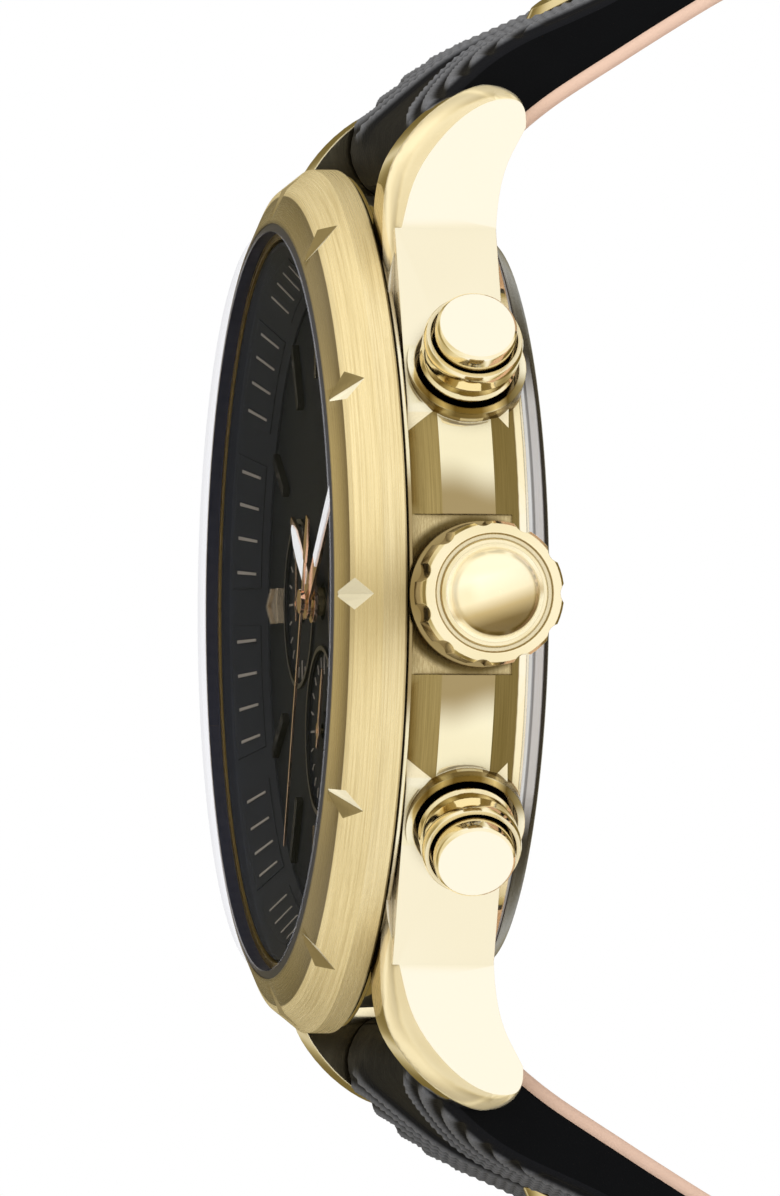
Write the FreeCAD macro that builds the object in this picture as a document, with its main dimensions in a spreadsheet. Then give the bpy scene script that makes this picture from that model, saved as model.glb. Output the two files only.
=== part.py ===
import FreeCAD, Part
import Sketcher
import math
import os

# Chronograph wristwatch. The dial faces -Y, 12 o'clock is +Z and the crown (3 o'clock) is +X.
# The origin is the centre of the case back's flat face, which lies in the plane Y = 0.
# Every piece is drawn in the watch's drawing frame (x to 3 o'clock, y to 12 o'clock, z out of
# the dial) and then stood up by one common placement, STAND. Sizes are in millimetres.

V = FreeCAD.Vector
BACK_FACE_Z = -8.85
STAND = FreeCAD.Placement(V(0, BACK_FACE_Z, 0), FreeCAD.Rotation(V(1, 0, 0), 90))
CROWNWARD = FreeCAD.Rotation(V(0, 1, 0), 90)     # turns local z to +x

# Driving dimensions. Names ending in _x, _y and _z are places in the drawing frame.
DIMENSIONS = [
    # bezel and crystal
    ("bezel_radius", 22.0), ("ridge_radius", 21.0), ("rim_radius", 19.25),
    ("rim_z", 2.3), ("ridge_z", 1.55), ("cone_z", 0.28), ("bezel_bottom", -0.96),
    ("seat_z", 1.74), ("crystal_radius", 18.84), ("crystal_top", 2.84), ("bezel_bore", 18.45),
    ("notch_half", 0.83), ("notch_deep", 0.32),
    # case
    ("case_bore", 18.3), ("back_bore", 19.0), ("case_radius", 20.75), ("case_back_z", -7.46),
    ("back_rim_radius", 20.4), ("flank_radius", 21.35), ("flank_low", 20.85),
    ("lug_gap", 22.1), ("lug_outer", 15.5), ("lug_knee", 18.5), ("bar_y", 23.0), ("bar_z", -5.9),
    # dial and hands; dial_drop is how far the dial's face lies behind the drawing plane
    ("dial_radius", 18.1), ("dial_thick", 0.4), ("dial_drop", 0.5), ("flange_inner", 15.8),
    ("subdial_offset", 6.6), ("hour_length", 7.6), ("minute_length", 12.6),
    ("seconds_length", 13.4),
    # movement
    ("arbor_radius", 0.15), ("plate_radius", 15.2), ("holder_radius", 18.2),
    # crown
    ("crown_z", -4.7), ("crown_x", 21.35), ("crown_radius", 3.6), ("crown_length", 5.85),
    ("crown_flutes", 11), ("pocket_x", 20.5), ("pocket_half", 4.0), ("stem_radius", 0.6),
    ("tube_radius", 1.7),
    # pushers; the ends are distances from the watch's axis
    ("pusher_z", -4.55), ("pusher_angle", 32.0), ("boss_radius", 3.02), ("boss_end", 21.85),
    ("tube_end", 24.3), ("cap_end", 25.35), ("cap_radius", 2.05),
    # strap; the bends are radii of curvature
    ("strap_thick", 3.3), ("strap_thin", 2.3), ("strap_wide", 21.8), ("strap_end_wide", 19.8),
    ("lining_thick", 0.7), ("short_length", 72.0), ("long_length", 110.0),
    ("short_bend", 30.0), ("long_bend", 40.0),
]


class Size:
    """A size with its value and the text of its spreadsheet expression."""

    def __init__(self, value, text):
        self.value = float(value)
        self.text = text

    def combine(self, other, sign, value):
        text = other.text if isinstance(other, Size) else repr(float(other))
        return Size(value, "(%s %s %s)" % (self.text, sign, text))

    def __add__(self, other):
        return self.combine(other, "+", self.value + number(other))

    def __sub__(self, other):
        return self.combine(other, "-", self.value - number(other))

    def __mul__(self, other):
        return self.combine(other, "*", self.value * number(other))

    def __neg__(self):
        return Size(-self.value, "(-1 * %s)" % self.text)


def number(size):
    return size.value if isinstance(size, Size) else float(size)


def bind(obj, path, size):
    """Drive a property by the spreadsheet if its size comes from there."""
    if isinstance(size, Size):
        obj.setExpression(path, size.text)


def assign(obj, name, size):
    setattr(obj, name, number(size))
    bind(obj, name, size)


class D:
    """The driving dimensions, one attribute for each spreadsheet alias."""


doc = FreeCAD.newDocument("watch")
sheet = doc.addObject("Spreadsheet::Sheet", "dims")
for row, (alias, size) in enumerate(DIMENSIONS, 1):
    sheet.set("A%d" % row, alias)
    sheet.set("B%d" % row, repr(float(size)))
    sheet.setAlias("B%d" % row, alias)
    setattr(D, alias, Size(size, "dims." + alias))
doc.recompute()


# ---------------------------------------------------------------- placements and pieces
def about_z(angle):
    return FreeCAD.Rotation(V(0, 0, 1), angle)


def place(x=0, y=0, z=0, rotation=None):
    return FreeCAD.Placement(V(number(x), number(y), number(z)), rotation or FreeCAD.Rotation())


def radial(angle, distance, z):
    """Placement whose local z runs outward along the direction angle in the dial's plane."""
    a, distance = math.radians(angle), number(distance)
    return place(distance * math.cos(a), distance * math.sin(a), z, about_z(angle) * CROWNWARD)


NODES = []


def node(obj, placement=None):
    """Stand a finished piece up and list it for export."""
    obj.Placement = STAND * (placement or FreeCAD.Placement())
    NODES.append(obj)


def inside_node(obj, placement=None):
    """A piece drawn with z = 0 on the dial's face, such as a hand or a wheel."""
    node(obj, place(z=-D.dial_drop) * (placement or FreeCAD.Placement()))


# ---------------------------------------------------------------- body building
def new_body(label):
    body = doc.addObject("PartDesign::Body", label)
    body.Label = label
    return body


def origin_feature(body, role):
    return [f for f in body.Origin.OriginFeatures if f.Role == role][0]


def circle(radius, x=0, y=0):
    return ("circle", x, y, radius)


def rect(x0, y0, x1, y1):
    return [(x0, y0), (x1, y0), (x1, y1), (x0, y1)]


def sketch(body, role, loops, offset=0.0):
    """Fully placed sketch of circles and closed polygons on one of the body's base planes."""
    drawing = body.newObject("Sketcher::SketchObject", "profile")
    drawing.AttachmentSupport = [(origin_feature(body, role), "")]
    drawing.MapMode = "FlatFace"
    drawing.AttachmentOffset = place(z=offset)
    bind(drawing, "AttachmentOffset.Base.z", offset)

    def constrain(size, *args):
        index = drawing.addConstraint(Sketcher.Constraint(*args, number(size)))
        bind(drawing, "Constraints[%d]" % index, size)

    def fix(geometry, point, x, y):
        for kind, size, axis in (("DistanceX", x, -2), ("DistanceY", y, -1)):
            if abs(number(size)) < 1e-9:
                drawing.addConstraint(
                    Sketcher.Constraint("PointOnObject", geometry, point, axis))
            else:
                constrain(size, kind, -1, 1, geometry, point)

    for loop in loops:
        if loop[0] == "circle":
            x, y, radius = loop[1:]
            centre = V(number(x), number(y), 0)
            edge = drawing.addGeometry(Part.Circle(centre, V(0, 0, 1), number(radius)))
            fix(edge, 3, x, y)
            constrain(radius, "Radius", edge)
            continue
        corners = [V(number(x), number(y), 0) for x, y in loop]
        edges = [drawing.addGeometry(Part.LineSegment(a, b))
                 for a, b in zip(corners, corners[1:] + corners[:1])]
        for a, b in zip(edges, edges[1:] + edges[:1]):
            drawing.addConstraint(Sketcher.Constraint("Coincident", a, 2, b, 1))
        for edge, (x, y) in zip(edges, loop):
            fix(edge, 1, x, y)
    return drawing


def turned(label, outline, angle=360.0):
    """Body turned about z from an outline of (radius, z); a part turn is centred on +x."""
    body = new_body(label)
    profile = sketch(body, "XZ_Plane", [outline])
    feature = body.newObject("PartDesign::Revolution", "turned")
    feature.Profile = (profile, [""])
    feature.ReferenceAxis = (profile, ["V_Axis"])
    feature.Angle = angle
    if angle < 360:
        feature.Midplane = True
    return body


def extrude(body, kind, label, loops, start, length, role, middle):
    profile = sketch(body, role, loops, start)
    feature = body.newObject("PartDesign::" + kind, label)
    feature.Profile = (profile, [""])
    if middle:
        feature.Midplane = True
    elif kind == "Pocket":
        feature.Reversed = True
    assign(feature, "Length", length)
    return feature


def pad(body, loops, start, height, role="XY_Plane", middle=False):
    return extrude(body, "Pad", "pad", loops, start, height, role, middle)


def pocket(body, loops, start, depth, role="XY_Plane", middle=False, label="pocket"):
    """Cut from the offset start along the plane's normal, or both ways if middle is set."""
    return extrude(body, "Pocket", label, loops, start, depth, role, middle)


def padded(label, loops, start, height, **options):
    body = new_body(label)
    pad(body, loops, start, height, **options)
    return body


def polar(body, feature, count):
    ring = body.newObject("PartDesign::PolarPattern", "ring")
    ring.Originals = [feature]
    ring.Axis = (origin_feature(body, "Z_Axis"), [""])
    ring.Angle = 360
    ring.Occurrences = int(number(count))
    bind(ring, "Occurrences", count)
    body.Tip = ring


# ---------------------------------------------------------------- Part objects
def add(kind, label):
    obj = doc.addObject("Part::" + kind, label)
    obj.Label = label
    return obj


def cylinder(label, radius, height, placement=None):
    obj = add("Cylinder", label)
    assign(obj, "Radius", radius)
    assign(obj, "Height", height)
    if placement:
        obj.Placement = placement
    return obj


def block(label, corner, size, angle=0):
    """Box from its lowest corner, then turned about z by angle."""
    obj = add("Box", label)
    obj.Length, obj.Width, obj.Height = size
    obj.Placement = place(rotation=about_z(angle)) * place(*corner)
    return obj


def fixed_shape(label, solid):
    obj = add("Feature", label)
    obj.Shape = solid
    return obj


def cut(label, base, tools):
    tool = tools[0]
    if len(tools) > 1:
        tool = add("MultiFuse", label + "_tools")
        tool.Shapes = tools
    obj = add("Cut", label)
    obj.Base, obj.Tool = base, tool
    return obj


def fuse(label, shapes):
    obj = add("MultiFuse", label)
    obj.Shapes = shapes
    obj.Refine = True
    return obj


def group(label, members):
    obj = add("Compound", label)
    obj.Links = members
    return obj


# ---------------------------------------------------------------- case middle
GASKET_SEAT_Z = -6.62       # step between the case bore and the wider back bore
GASKET_THICK = 0.2
PUSHER_SIDES = ((1, D.pusher_angle.value), (-1, -D.pusher_angle.value))
HALF_GAP = D.lug_gap.value / 2
BAR_HOLE_HALF = 12.6        # reach of the spring bar holes to each side

# Outline of a lug seen from the side, as (distance from the x axis, depth behind the bezel rim)
FRONT_EDGE = [
    (14.0, 3.42), (17.0, 3.42), (20.0, 3.44), (21.0, 3.6), (22.0, 3.93), (23.0, 4.54),
    (24.05, 5.45), (24.9, 6.47), (25.5, 7.5), (25.82, 8.5)]
TIP_EDGE = [
    (25.82, 8.5), (25.76, 9.2), (25.45, 9.95), (25.0, 10.32), (24.4, 10.45), (23.6, 10.38)]
REAR_EDGE = [
    (23.6, 10.38), (23.0, 10.06), (21.9, 9.5), (20.1, 9.02), (18.4, 8.87), (14.0, 8.85)]
# The same edges on the lug's flat outer face
FLAT_FRONT_EDGE = [
    (14.0, 3.5), (17.0, 3.62), (18.4, 4.03), (20.1, 4.43), (21.4, 4.94), (22.9, 5.96),
    (23.95, 6.98), (24.65, 8.0), (25.0, 9.0), (25.02, 9.6)]
FLAT_TIP_EDGE = [
    (25.02, 9.6), (24.98, 9.85), (24.9, 10.05), (24.7, 10.22), (24.35, 10.35), (23.6, 10.38)]


def lug_wire(x, flatness):
    """Side outline of a lug at x; flatness runs from 0 (full outline) to 1 (outer face)."""
    def mix(full, flat):
        return [((1 - flatness) * p[0] + flatness * q[0], (1 - flatness) * p[1] + flatness * q[1])
                for p, q in zip(full, flat)]

    def point(p):
        return V(x, p[0], D.rim_z.value - p[1])

    front = mix(FRONT_EDGE, FLAT_FRONT_EDGE)
    edges = []
    for points in (front, mix(TIP_EDGE, FLAT_TIP_EDGE), REAR_EDGE):
        curve = Part.BSplineCurve()
        curve.interpolate([point(p) for p in points])
        edges.append(curve.toShape())
    edges.append(Part.makeLine(point(REAR_EDGE[-1]), point(front[0])))
    return Part.Wire(edges)


def make_lugs():
    outer = D.lug_outer.value
    bevel_start = outer - 1.7
    straight = Part.makeLoft([lug_wire(HALF_GAP, 0.0), lug_wire(bevel_start, 0.0)], True, True)
    bevel = Part.makeLoft([
        lug_wire(bevel_start, 0.0), lug_wire(outer - 0.95, 0.24),
        lug_wire(outer - 0.4, 0.56), lug_wire(outer, 1.0)], True, False)
    lug = straight.fuse(bevel)
    left = lug.mirror(V(0, 0, 0), V(1, 0, 0))
    return [fixed_shape("lug_a", lug), fixed_shape("lug_b", left),
            fixed_shape("lug_c", lug.mirror(V(0, 0, 0), V(0, 1, 0))),
            fixed_shape("lug_d", left.mirror(V(0, 0, 0), V(0, 1, 0)))]


def make_case_stock():
    bottom = D.bezel_bottom
    barrel = turned("case_barrel", [
        (D.case_bore, bottom), (20.6, bottom), (20.6, bottom - 0.14),
        (D.bezel_radius - 0.25, bottom - 0.14), (D.bezel_radius - 0.25, bottom - 0.32),
        (D.case_radius - 0.3, bottom - 0.32), (D.case_radius - 0.3, bottom - 0.5),
        (D.case_radius, bottom - 0.5), (D.case_radius - 0.2, -5.6),
        (D.back_rim_radius, D.case_back_z), (D.back_bore, D.case_back_z),
        (D.back_bore, GASKET_SEAT_Z), (D.case_bore, GASKET_SEAT_Z)])
    # raised flank around the crown and pushers
    flank = turned("case_flank", [
        (20.0, bottom - 0.32), (D.flank_low - 0.1, bottom - 0.32), (D.flank_low, bottom - 0.4),
        (D.flank_radius, -2.9), (D.flank_radius, -5.6), (D.flank_low, -6.8),
        (20.6, -7.3), (20.0, -7.3)], angle=64.0)
    lugs = make_lugs()
    # eight-sided slab that joins the lugs to the barrel
    side_x, side_y = 19.2, 9.5
    shoulder = padded("case_shoulder", [[
        (D.lug_outer, D.lug_knee), (side_x, side_y), (side_x, -side_y),
        (D.lug_outer, -D.lug_knee), (-D.lug_outer, -D.lug_knee), (-side_x, -side_y),
        (-side_x, side_y), (-D.lug_outer, D.lug_knee)]], -6.56, 5.16)
    boss_start = 17.5
    bosses = [cylinder("boss_" + name, D.boss_radius, D.boss_end - boss_start,
                       radial(sign * D.pusher_angle.value, boss_start, D.pusher_z))
              for sign, name in ((1, "up"), (-1, "low"))]
    return fuse("case_stock", [barrel, flank, shoulder] + lugs + bosses)


def make_case_tools():
    pocket_low, pocket_high, pocket_end = -6.5, -1.28, 24
    half, start = D.pocket_half.value, D.pocket_x.value
    tools = [
        cylinder("bore_cut", D.case_bore, 8.0, place(z=GASKET_SEAT_Z)),
        cylinder("back_cut", D.back_bore, 4.0, place(z=GASKET_SEAT_Z - 4.0)),
        cylinder("back_face_cut", 19.9, 3.0, place(z=D.case_back_z - 3.0)),
        cylinder("crown_room", 3.75, 4.0, radial(0, start, D.crown_z)),
        block("pocket_cut", (start, -half, pocket_low),
              (pocket_end - start, 2 * half, pocket_high - pocket_low)),
        cylinder("tube_cut", D.tube_radius, 8, radial(0, 16.5, D.crown_z))]
    for (sign, angle), name in zip(PUSHER_SIDES, ("up", "low")):
        tools.append(cylinder("push_cut_" + name, 2.65, 4, radial(angle, 20.4, D.pusher_z)))
        tools.append(cylinder("push_hole_" + name, 2.0, 5, radial(angle, 16.0, D.pusher_z)))
    for sign, name in ((1, "12"), (-1, "6")):
        y = sign * D.bar_y.value
        tools.append(cylinder("scoop_" + name, 2.05, D.lug_gap,
                              place(-HALF_GAP, y, D.bar_z, CROWNWARD)))
        tools.append(cylinder("barhole_" + name, 0.42, 2 * BAR_HOLE_HALF,
                              place(-BAR_HOLE_HALF, y, D.bar_z, CROWNWARD)))
    return tools


node(cut("case_middle", make_case_stock(), make_case_tools()))


# ---------------------------------------------------------------- bezel, crystal, back
def make_bezel():
    """Stepped ring with twelve V notches across its sloping face."""
    ring = turned("bezel_ring", [
        (D.rim_radius, D.rim_z), (D.rim_radius + 0.12, D.rim_z), (D.ridge_radius, D.ridge_z),
        (D.bezel_radius, D.cone_z), (D.bezel_radius, D.bezel_bottom + 0.1),
        (D.bezel_radius - 0.1, D.bezel_bottom), (D.bezel_bore, D.bezel_bottom),
        (D.bezel_bore, D.seat_z), (D.rim_radius, D.seat_z)])
    # the bottom line of a notch runs from inner to outer, and on past it
    inner, outer = V(19.6, 0, 2.14), V(21.68, 0, 0.69)
    slope = (outer - inner).normalize()
    up = V(-slope.z, 0, slope.x)
    # the triangle is 1 mm high, so its half width is the notch's half width over its depth
    sideways = V(0, D.notch_half.value / D.notch_deep.value, 0)
    triangle = Part.makePolygon([inner, inner + up + sideways, inner + up - sideways, inner])
    wedge = Part.Face(triangle).extrude((outer - inner) * 1.3)
    wedges = []
    for i in range(12):
        turned_wedge = wedge.copy()
        turned_wedge.rotate(V(0, 0, 0), V(0, 0, 1), 30 * i)
        wedges.append(turned_wedge)
    return cut("bezel", ring, [fixed_shape("bezel_notches", Part.makeCompound(wedges))])


def make_case_back():
    """Lid with six notches in its outer face."""
    skirt = D.back_bore - 0.1
    top = GASKET_SEAT_Z - GASKET_THICK
    body = turned("case_back", [
        (0, BACK_FACE_Z), (18.2, BACK_FACE_Z), (18.5, -8.75), (18.8, -8.5), (19.75, -7.8),
        (19.75, D.case_back_z), (skirt, D.case_back_z), (skirt, top), (18.0, top),
        (18.0, -7.2), (0, -7.2)])
    notch = pocket(body, [rect(17.1, -1.2, 18.3, 1.2)], BACK_FACE_Z - 0.05, 0.6)
    polar(body, notch, 6)
    return body


node(make_bezel())
node(turned("crystal", [
    (0, D.seat_z), (D.crystal_radius, D.seat_z), (D.crystal_radius, D.crystal_top - 0.2),
    (D.crystal_radius - 0.2, D.crystal_top), (0, D.crystal_top)]))
node(turned("crystal_gasket", [
    (D.crystal_radius, D.seat_z), (D.rim_radius, D.seat_z),
    (D.rim_radius, D.rim_z - 0.05), (D.crystal_radius, D.rim_z + 0.05)]))
node(make_case_back())
node(turned("case_back_gasket",
            rect(18.35, GASKET_SEAT_Z - GASKET_THICK, 18.85, GASKET_SEAT_Z)))

# ---------------------------------------------------------------- dial
# Centres of the subdials at 3, 9 and 6 o'clock
HOUR24_AT = (D.subdial_offset, 0)
MINUTES_AT = (-D.subdial_offset, 0)
SECONDS_AT = (0, -D.subdial_offset)
SUBDIALS = (HOUR24_AT, MINUTES_AT, SECONDS_AT)
SUBDIAL_RADIUS = 4.1
INDEX_WIDTH, INDEX_HEIGHT, INDEX_END = 0.55, 0.35, 15.2


def make_dial():
    body = padded("dial", [circle(D.dial_radius), circle(0.95)]
                  + [circle(0.4, *at) for at in SUBDIALS], -D.dial_thick, D.dial_thick)
    # each subdial is sunk around a raised centre
    recesses = [circle(radius, *at) for at in SUBDIALS for radius in (SUBDIAL_RADIUS, 1.0)]
    pocket(body, recesses, -0.12, 0.3)
    return body


def make_subdial_rings():
    rings = []
    for i, at in enumerate(SUBDIALS):
        rings.append(turned("ring_%d" % i, rect(4.12, 0, 4.36, 0.14)))
        rings[-1].Placement = place(*at)
    return group("subdial_rings", rings)


def baton(angle, start, shift=0.0):
    return block("baton", (start, shift - INDEX_WIDTH / 2, 0),
                 (INDEX_END - start, INDEX_WIDTH, INDEX_HEIGHT), angle)


def chevron(angle, start, notch):
    """Arrow head pointing outward; notch is how far its inner point is moved out."""
    points = [(1.9, 0), (0.5, 0.9), (0, 0.9), (0.3 + notch, 0), (0, -0.9), (0.5, -0.9), (1.9, 0)]
    outline = Part.makePolygon([V(start + x, y, 0) for x, y in points])
    solid = Part.Face(outline).extrude(V(0, 0, INDEX_HEIGHT))
    solid.rotate(V(0, 0, 0), V(0, 0, 1), angle)
    return solid


def make_indices():
    """Single batons, double batons at 12 and 6, and pairs of chevrons at 3 and 9."""
    batons = [baton(angle, 11.6) for angle in range(0, 360, 30) if angle % 90]
    batons += [baton(angle, 11.4, shift) for angle in (90, 270) for shift in (0.55, -0.55)]
    chevrons = [chevron(angle, start, notch)
                for angle in (0, 180) for start, notch in ((11.6, 0.0), (13.3, 1.0))]
    return group("hour_indices",
                 batons + [fixed_shape("chevrons", Part.makeCompound(chevrons))])


inside_node(turned("flange_ring", [
    (D.flange_inner, 0), (D.case_bore, 0), (D.case_bore, 2.15), (D.case_bore - 0.2, 2.15),
    (D.flange_inner, 0.12)]))
inside_node(make_dial())
inside_node(make_subdial_rings())
inside_node(make_indices())


# ---------------------------------------------------------------- hands
def hand(label, angle, length, width, tail, hub, bore, z, thick, at=(0, 0)):
    """A pointed hand along its own +y, turned clockwise by angle from 12."""
    right = [(width * 0.35, -tail), (width * 0.5, length * 0.35),
             (width * 0.5, length * 0.72), (width * 0.12, length)]
    left = [(-x, y) for x, y in reversed(right)]
    body = padded(label, [right + left], z, thick)
    pad(body, [circle(hub)], z, thick)
    pocket(body, [circle(bore)], z - 0.5, thick + 1.0)
    inside_node(body, place(*at, rotation=about_z(-angle)))


def make_chrono_hand():
    """Thin hand with a counterweight."""
    z, thick = 1.02, 0.12
    body = padded("chrono_seconds_hand", [[
        (0.12, -4.2), (0.07, D.seconds_length), (-0.07, D.seconds_length), (-0.12, -4.2)]],
        z, thick)
    pad(body, [[(0.3, -2.2), (0.42, -3.2), (0.3, -4.6),
                (-0.3, -4.6), (-0.42, -3.2), (-0.3, -2.2)]], z, thick)
    pad(body, [circle(0.62)], z, 0.22)
    pocket(body, [circle(D.arbor_radius)], 0.9, 0.2)
    return body


hand("hour_hand", 304.5, D.hour_length, width=1.5, tail=1.0, hub=1.1, bore=0.75,
     z=0.42, thick=0.18)
hand("minute_hand", 54.0, D.minute_length, width=1.2, tail=1.0, hub=0.9, bore=0.42,
     z=0.74, thick=0.16)
inside_node(make_chrono_hand(), place(rotation=about_z(-202)))
for label, at, angle in (("small_seconds_hand", SECONDS_AT, 22),
                         ("chrono_minute_hand", MINUTES_AT, 0), ("hour24_hand", HOUR24_AT, 152)):
    hand(label, angle, 3.4, width=0.34, tail=0.9, hub=0.42, bore=D.arbor_radius,
         z=0.16, thick=0.12, at=at)

# ---------------------------------------------------------------- wheels
CENTRE = (0, 0)
MINUTE_WHEEL_AT = (2.8, 0)
THIRD_AT = (-1.925, -3.334)
INTERMEDIATE_AT = (2.255, -7.42)
ROTOR_AT = (4.005, -7.42)
PIVOT_HOLE = 0.2
TOOTH_DEPTH = 0.16


def wheel(label, at, discs, bore=None):
    """Discs of (radius, z, thickness, teeth) on one axis; bore is (radius, z, depth)."""
    body = new_body(label)
    for radius, z, thick, teeth in discs:
        pad(body, [circle(radius)], z, thick)
    for radius, z, thick, teeth in discs:
        if teeth:
            width = math.pi * radius / teeth
            root, past = radius - TOOTH_DEPTH, radius + 0.1
            space = pocket(body, [[
                (-width * 0.25, root), (width * 0.25, root),
                (width * 0.55, past), (-width * 0.55, past)]], z - 0.01, thick + 0.02)
            polar(body, space, teeth)
    if bore:
        radius, z, depth = bore
        pocket(body, [circle(radius)], z, depth)
    inside_node(body, place(*at))


# arbors that reach the bridge: to just above the train, and to a subdial hand
SHORT_ARBOR = (D.arbor_radius, -3.75, 2.4, 0)
HAND_ARBOR = (D.arbor_radius, -3.75, 3.98, 0)
wheel("hour_wheel", CENTRE, [(2.22, -0.72, 0.2, 40), (0.72, -0.72, 1.3, 0)], (0.47, -1.0, 2.5))
wheel("cannon_pinion", CENTRE, [(0.68, -1.05, 0.25, 0), (0.4, -2.35, 3.2, 0),
                                (3.38, -2.3, 0.2, 75)], (0.2, -3, 5))
wheel("minute_wheel", MINUTE_WHEEL_AT, [(2.08, -1.06, 0.14, 36), (0.41, -0.92, 0.18, 0),
                                        (0.55, -0.74, 0.22, 0)], (0.2, -1.2, 1.0))
wheel("hour24_wheel", HOUR24_AT, [(3.35, -0.9, 0.13, 80), (D.arbor_radius, -1.5, 1.7, 0)])
wheel("third_wheel", THIRD_AT, [(3.35, -3.2, 0.2, 80), (0.44, -2.31, 0.22, 0), SHORT_ARBOR])
wheel("fourth_wheel", SECONDS_AT, [(1.98, -2.7, 0.2, 50), (0.41, -3.21, 0.22, 0), HAND_ARBOR])
wheel("intermediate_wheel", INTERMEDIATE_AT,
      [(1.48, -3.2, 0.2, 60), (0.39, -2.71, 0.22, 0), SHORT_ARBOR])
wheel("rotor", ROTOR_AT, [(0.24, -3.22, 0.24, 0), (0.6, -2.6, 0.6, 0), SHORT_ARBOR])
wheel("chrono_seconds_wheel", CENTRE,
      [(2.4, -3.46, 0.14, 60), (D.arbor_radius, -3.75, 4.85, 0)])
wheel("chrono_minute_wheel", MINUTES_AT, [(2.0, -2.7, 0.2, 60), HAND_ARBOR])

# ---------------------------------------------------------------- movement
# Heights of the crown's and pushers' axes as seen from the dial's face
INSIDE_CROWN_Z = D.crown_z + D.dial_drop
INSIDE_PUSHER_Z = D.pusher_z + D.dial_drop
PILLARS = [(-9.05, 1.7), (5.2, -3.2), (-5.4, -7.2)]
HOLDER_BOTTOM = -5.9


def make_main_plate():
    body = padded("main_plate", [circle(D.plate_radius)], -1.9, 0.8)
    pad(body, [circle(D.plate_radius), circle(14.2)], HOLDER_BOTTOM, 4.1)
    pad(body, [circle(D.arbor_radius, *MINUTE_WHEEL_AT)], -1.2, 0.65)
    through = [circle(PIVOT_HOLE, *at) for at in (MINUTES_AT, SECONDS_AT, HOUR24_AT)]
    pocket(body, [circle(0.5)] + through, -2.5, 2.0)
    blind = [circle(PIVOT_HOLE, *at) for at in (THIRD_AT, INTERMEDIATE_AT, ROTOR_AT)]
    pocket(body, blind, -2.0, 0.75)
    pocket(body, [circle(0.75, 0, INSIDE_CROWN_Z)], 5, 15, role="YZ_Plane", label="stem_slot")
    return body


def make_train_bridge():
    body = padded("train_bridge", [[
        (-10.0, 2.7), (-10.0, -2.2), (-6, -8.6), (-1, -9.8), (5.5, -9.2), (6.5, -6),
        (4.6, 2.6), (-3, 3.0)]], -3.95, 0.4)
    pad(body, [circle(0.75, *at) for at in PILLARS], -3.6, 1.7)
    pivots = (CENTRE, MINUTES_AT, THIRD_AT, SECONDS_AT, INTERMEDIATE_AT, ROTOR_AT)
    pocket(body, [circle(0.33, *at) for at in PILLARS]
           + [circle(PIVOT_HOLE, *at) for at in pivots], -4.5, 3.0)
    return body


def make_bridge_screws():
    return group("bridge_screws", [
        fuse("screw_%d" % i, [cylinder("head_%d" % i, 0.6, 0.25, place(x, y, -4.2)),
                              cylinder("shank_%d" % i, 0.28, 2.05, place(x, y, -3.97))])
        for i, (x, y) in enumerate(PILLARS)])


def make_stator():
    body = padded("stator", [[
        (2.9, -6.3), (5.2, -6.3), (5.2, -8.5), (8.2, -9.9), (8.2, -11.2), (7.2, -11.2),
        (7.2, -10.2), (4.9, -9.0), (3.1, -9.0), (1.2, -9.9), (1.2, -11.2), (0.2, -11.2),
        (0.2, -9.6), (2.9, -8.4)]], -2.5, 0.4)
    pocket(body, [circle(0.8, *ROTOR_AT)], -3, 1.5)
    return body


def make_battery_clamp():
    """Strip behind the battery with a leg at each end."""
    left, right, leg = -9.9, -2.1, 0.3
    body = new_body("battery_clamp")
    for x0, x1, height in ((left, right, 0.13), (left, left + leg, 4.3),
                           (right - leg, right, 4.3)):
        pad(body, [rect(x0, 7.9, x1, 9.1)], -6.2, height)
    return body


def make_circuit_board():
    angles = [math.radians(a) for a in range(192, 349, 12)]
    outline = [(13.4 * math.cos(a), 13.4 * math.sin(a)) for a in angles]
    return padded("circuit_board", [outline], -4.45, 0.2)


def make_movement_ring():
    """Holder ring around the main plate, bored for the stem and the pushers."""
    stock = padded("holder_stock", [circle(D.holder_radius), circle(D.plate_radius + 0.05)],
                   HOLDER_BOTTOM, 5.5)
    tools = [cylinder("ring_stem", 1.8, 8, radial(0, 13, INSIDE_CROWN_Z))]
    for (sign, angle), name in zip(PUSHER_SIDES, ("up", "low")):
        tools.append(cylinder("ring_" + name, 1.0, 8, radial(angle, 13, INSIDE_PUSHER_Z)))
    return cut("movement_ring", stock, tools)


inside_node(make_main_plate())
inside_node(make_train_bridge())
inside_node(make_bridge_screws())
inside_node(make_stator())
inside_node(cylinder("coil", 0.62, 6.6), place(0.9, -10.75, -3.2, CROWNWARD))
inside_node(turned("battery", [
    (0, -6.05), (3.3, -6.05), (3.4, -5.95), (3.4, -3.75), (2.7, -3.75), (2.7, -3.45),
    (0, -3.45)]), place(-6, 8.5))
inside_node(make_battery_clamp())
inside_node(make_circuit_board())
inside_node(make_movement_ring())

# ---------------------------------------------------------------- crown
STEM_LENGTH = 13.7
STEM_SOCKET = 2.35      # depth of the crown's hollow, where the stem ends


def make_crown():
    """Fluted crown, hollow towards the case, with a groove around its domed end."""
    radius = D.crown_radius
    dome = [(2.28 * math.cos(math.radians(a)), 4.45 + 1.4 * math.sin(math.radians(a)))
            for a in (0, 12, 24, 36, 48, 60, 72, 82)]
    body = turned("crown", [
        (0, STEM_SOCKET), (1.78, STEM_SOCKET), (1.78, 0.15), (3.2, 0.15), (radius + 0.05, 0.4),
        (radius + 0.05, 0.7), (3.25, 0.95), (3.25, 1.3), (radius, 1.65), (radius, 3.85),
        (radius - 0.15, 4.1), (3.0, 4.25), (2.92, 4.12), (2.74, 4.12), (2.66, 4.3), (2.5, 4.42),
        (2.36, 4.4)] + dome + [(0, D.crown_length)])
    flute = pocket(body, [circle(0.62, 3.98, 0)], 1.0, 4.0)
    polar(body, flute, D.crown_flutes)
    return body


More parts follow.
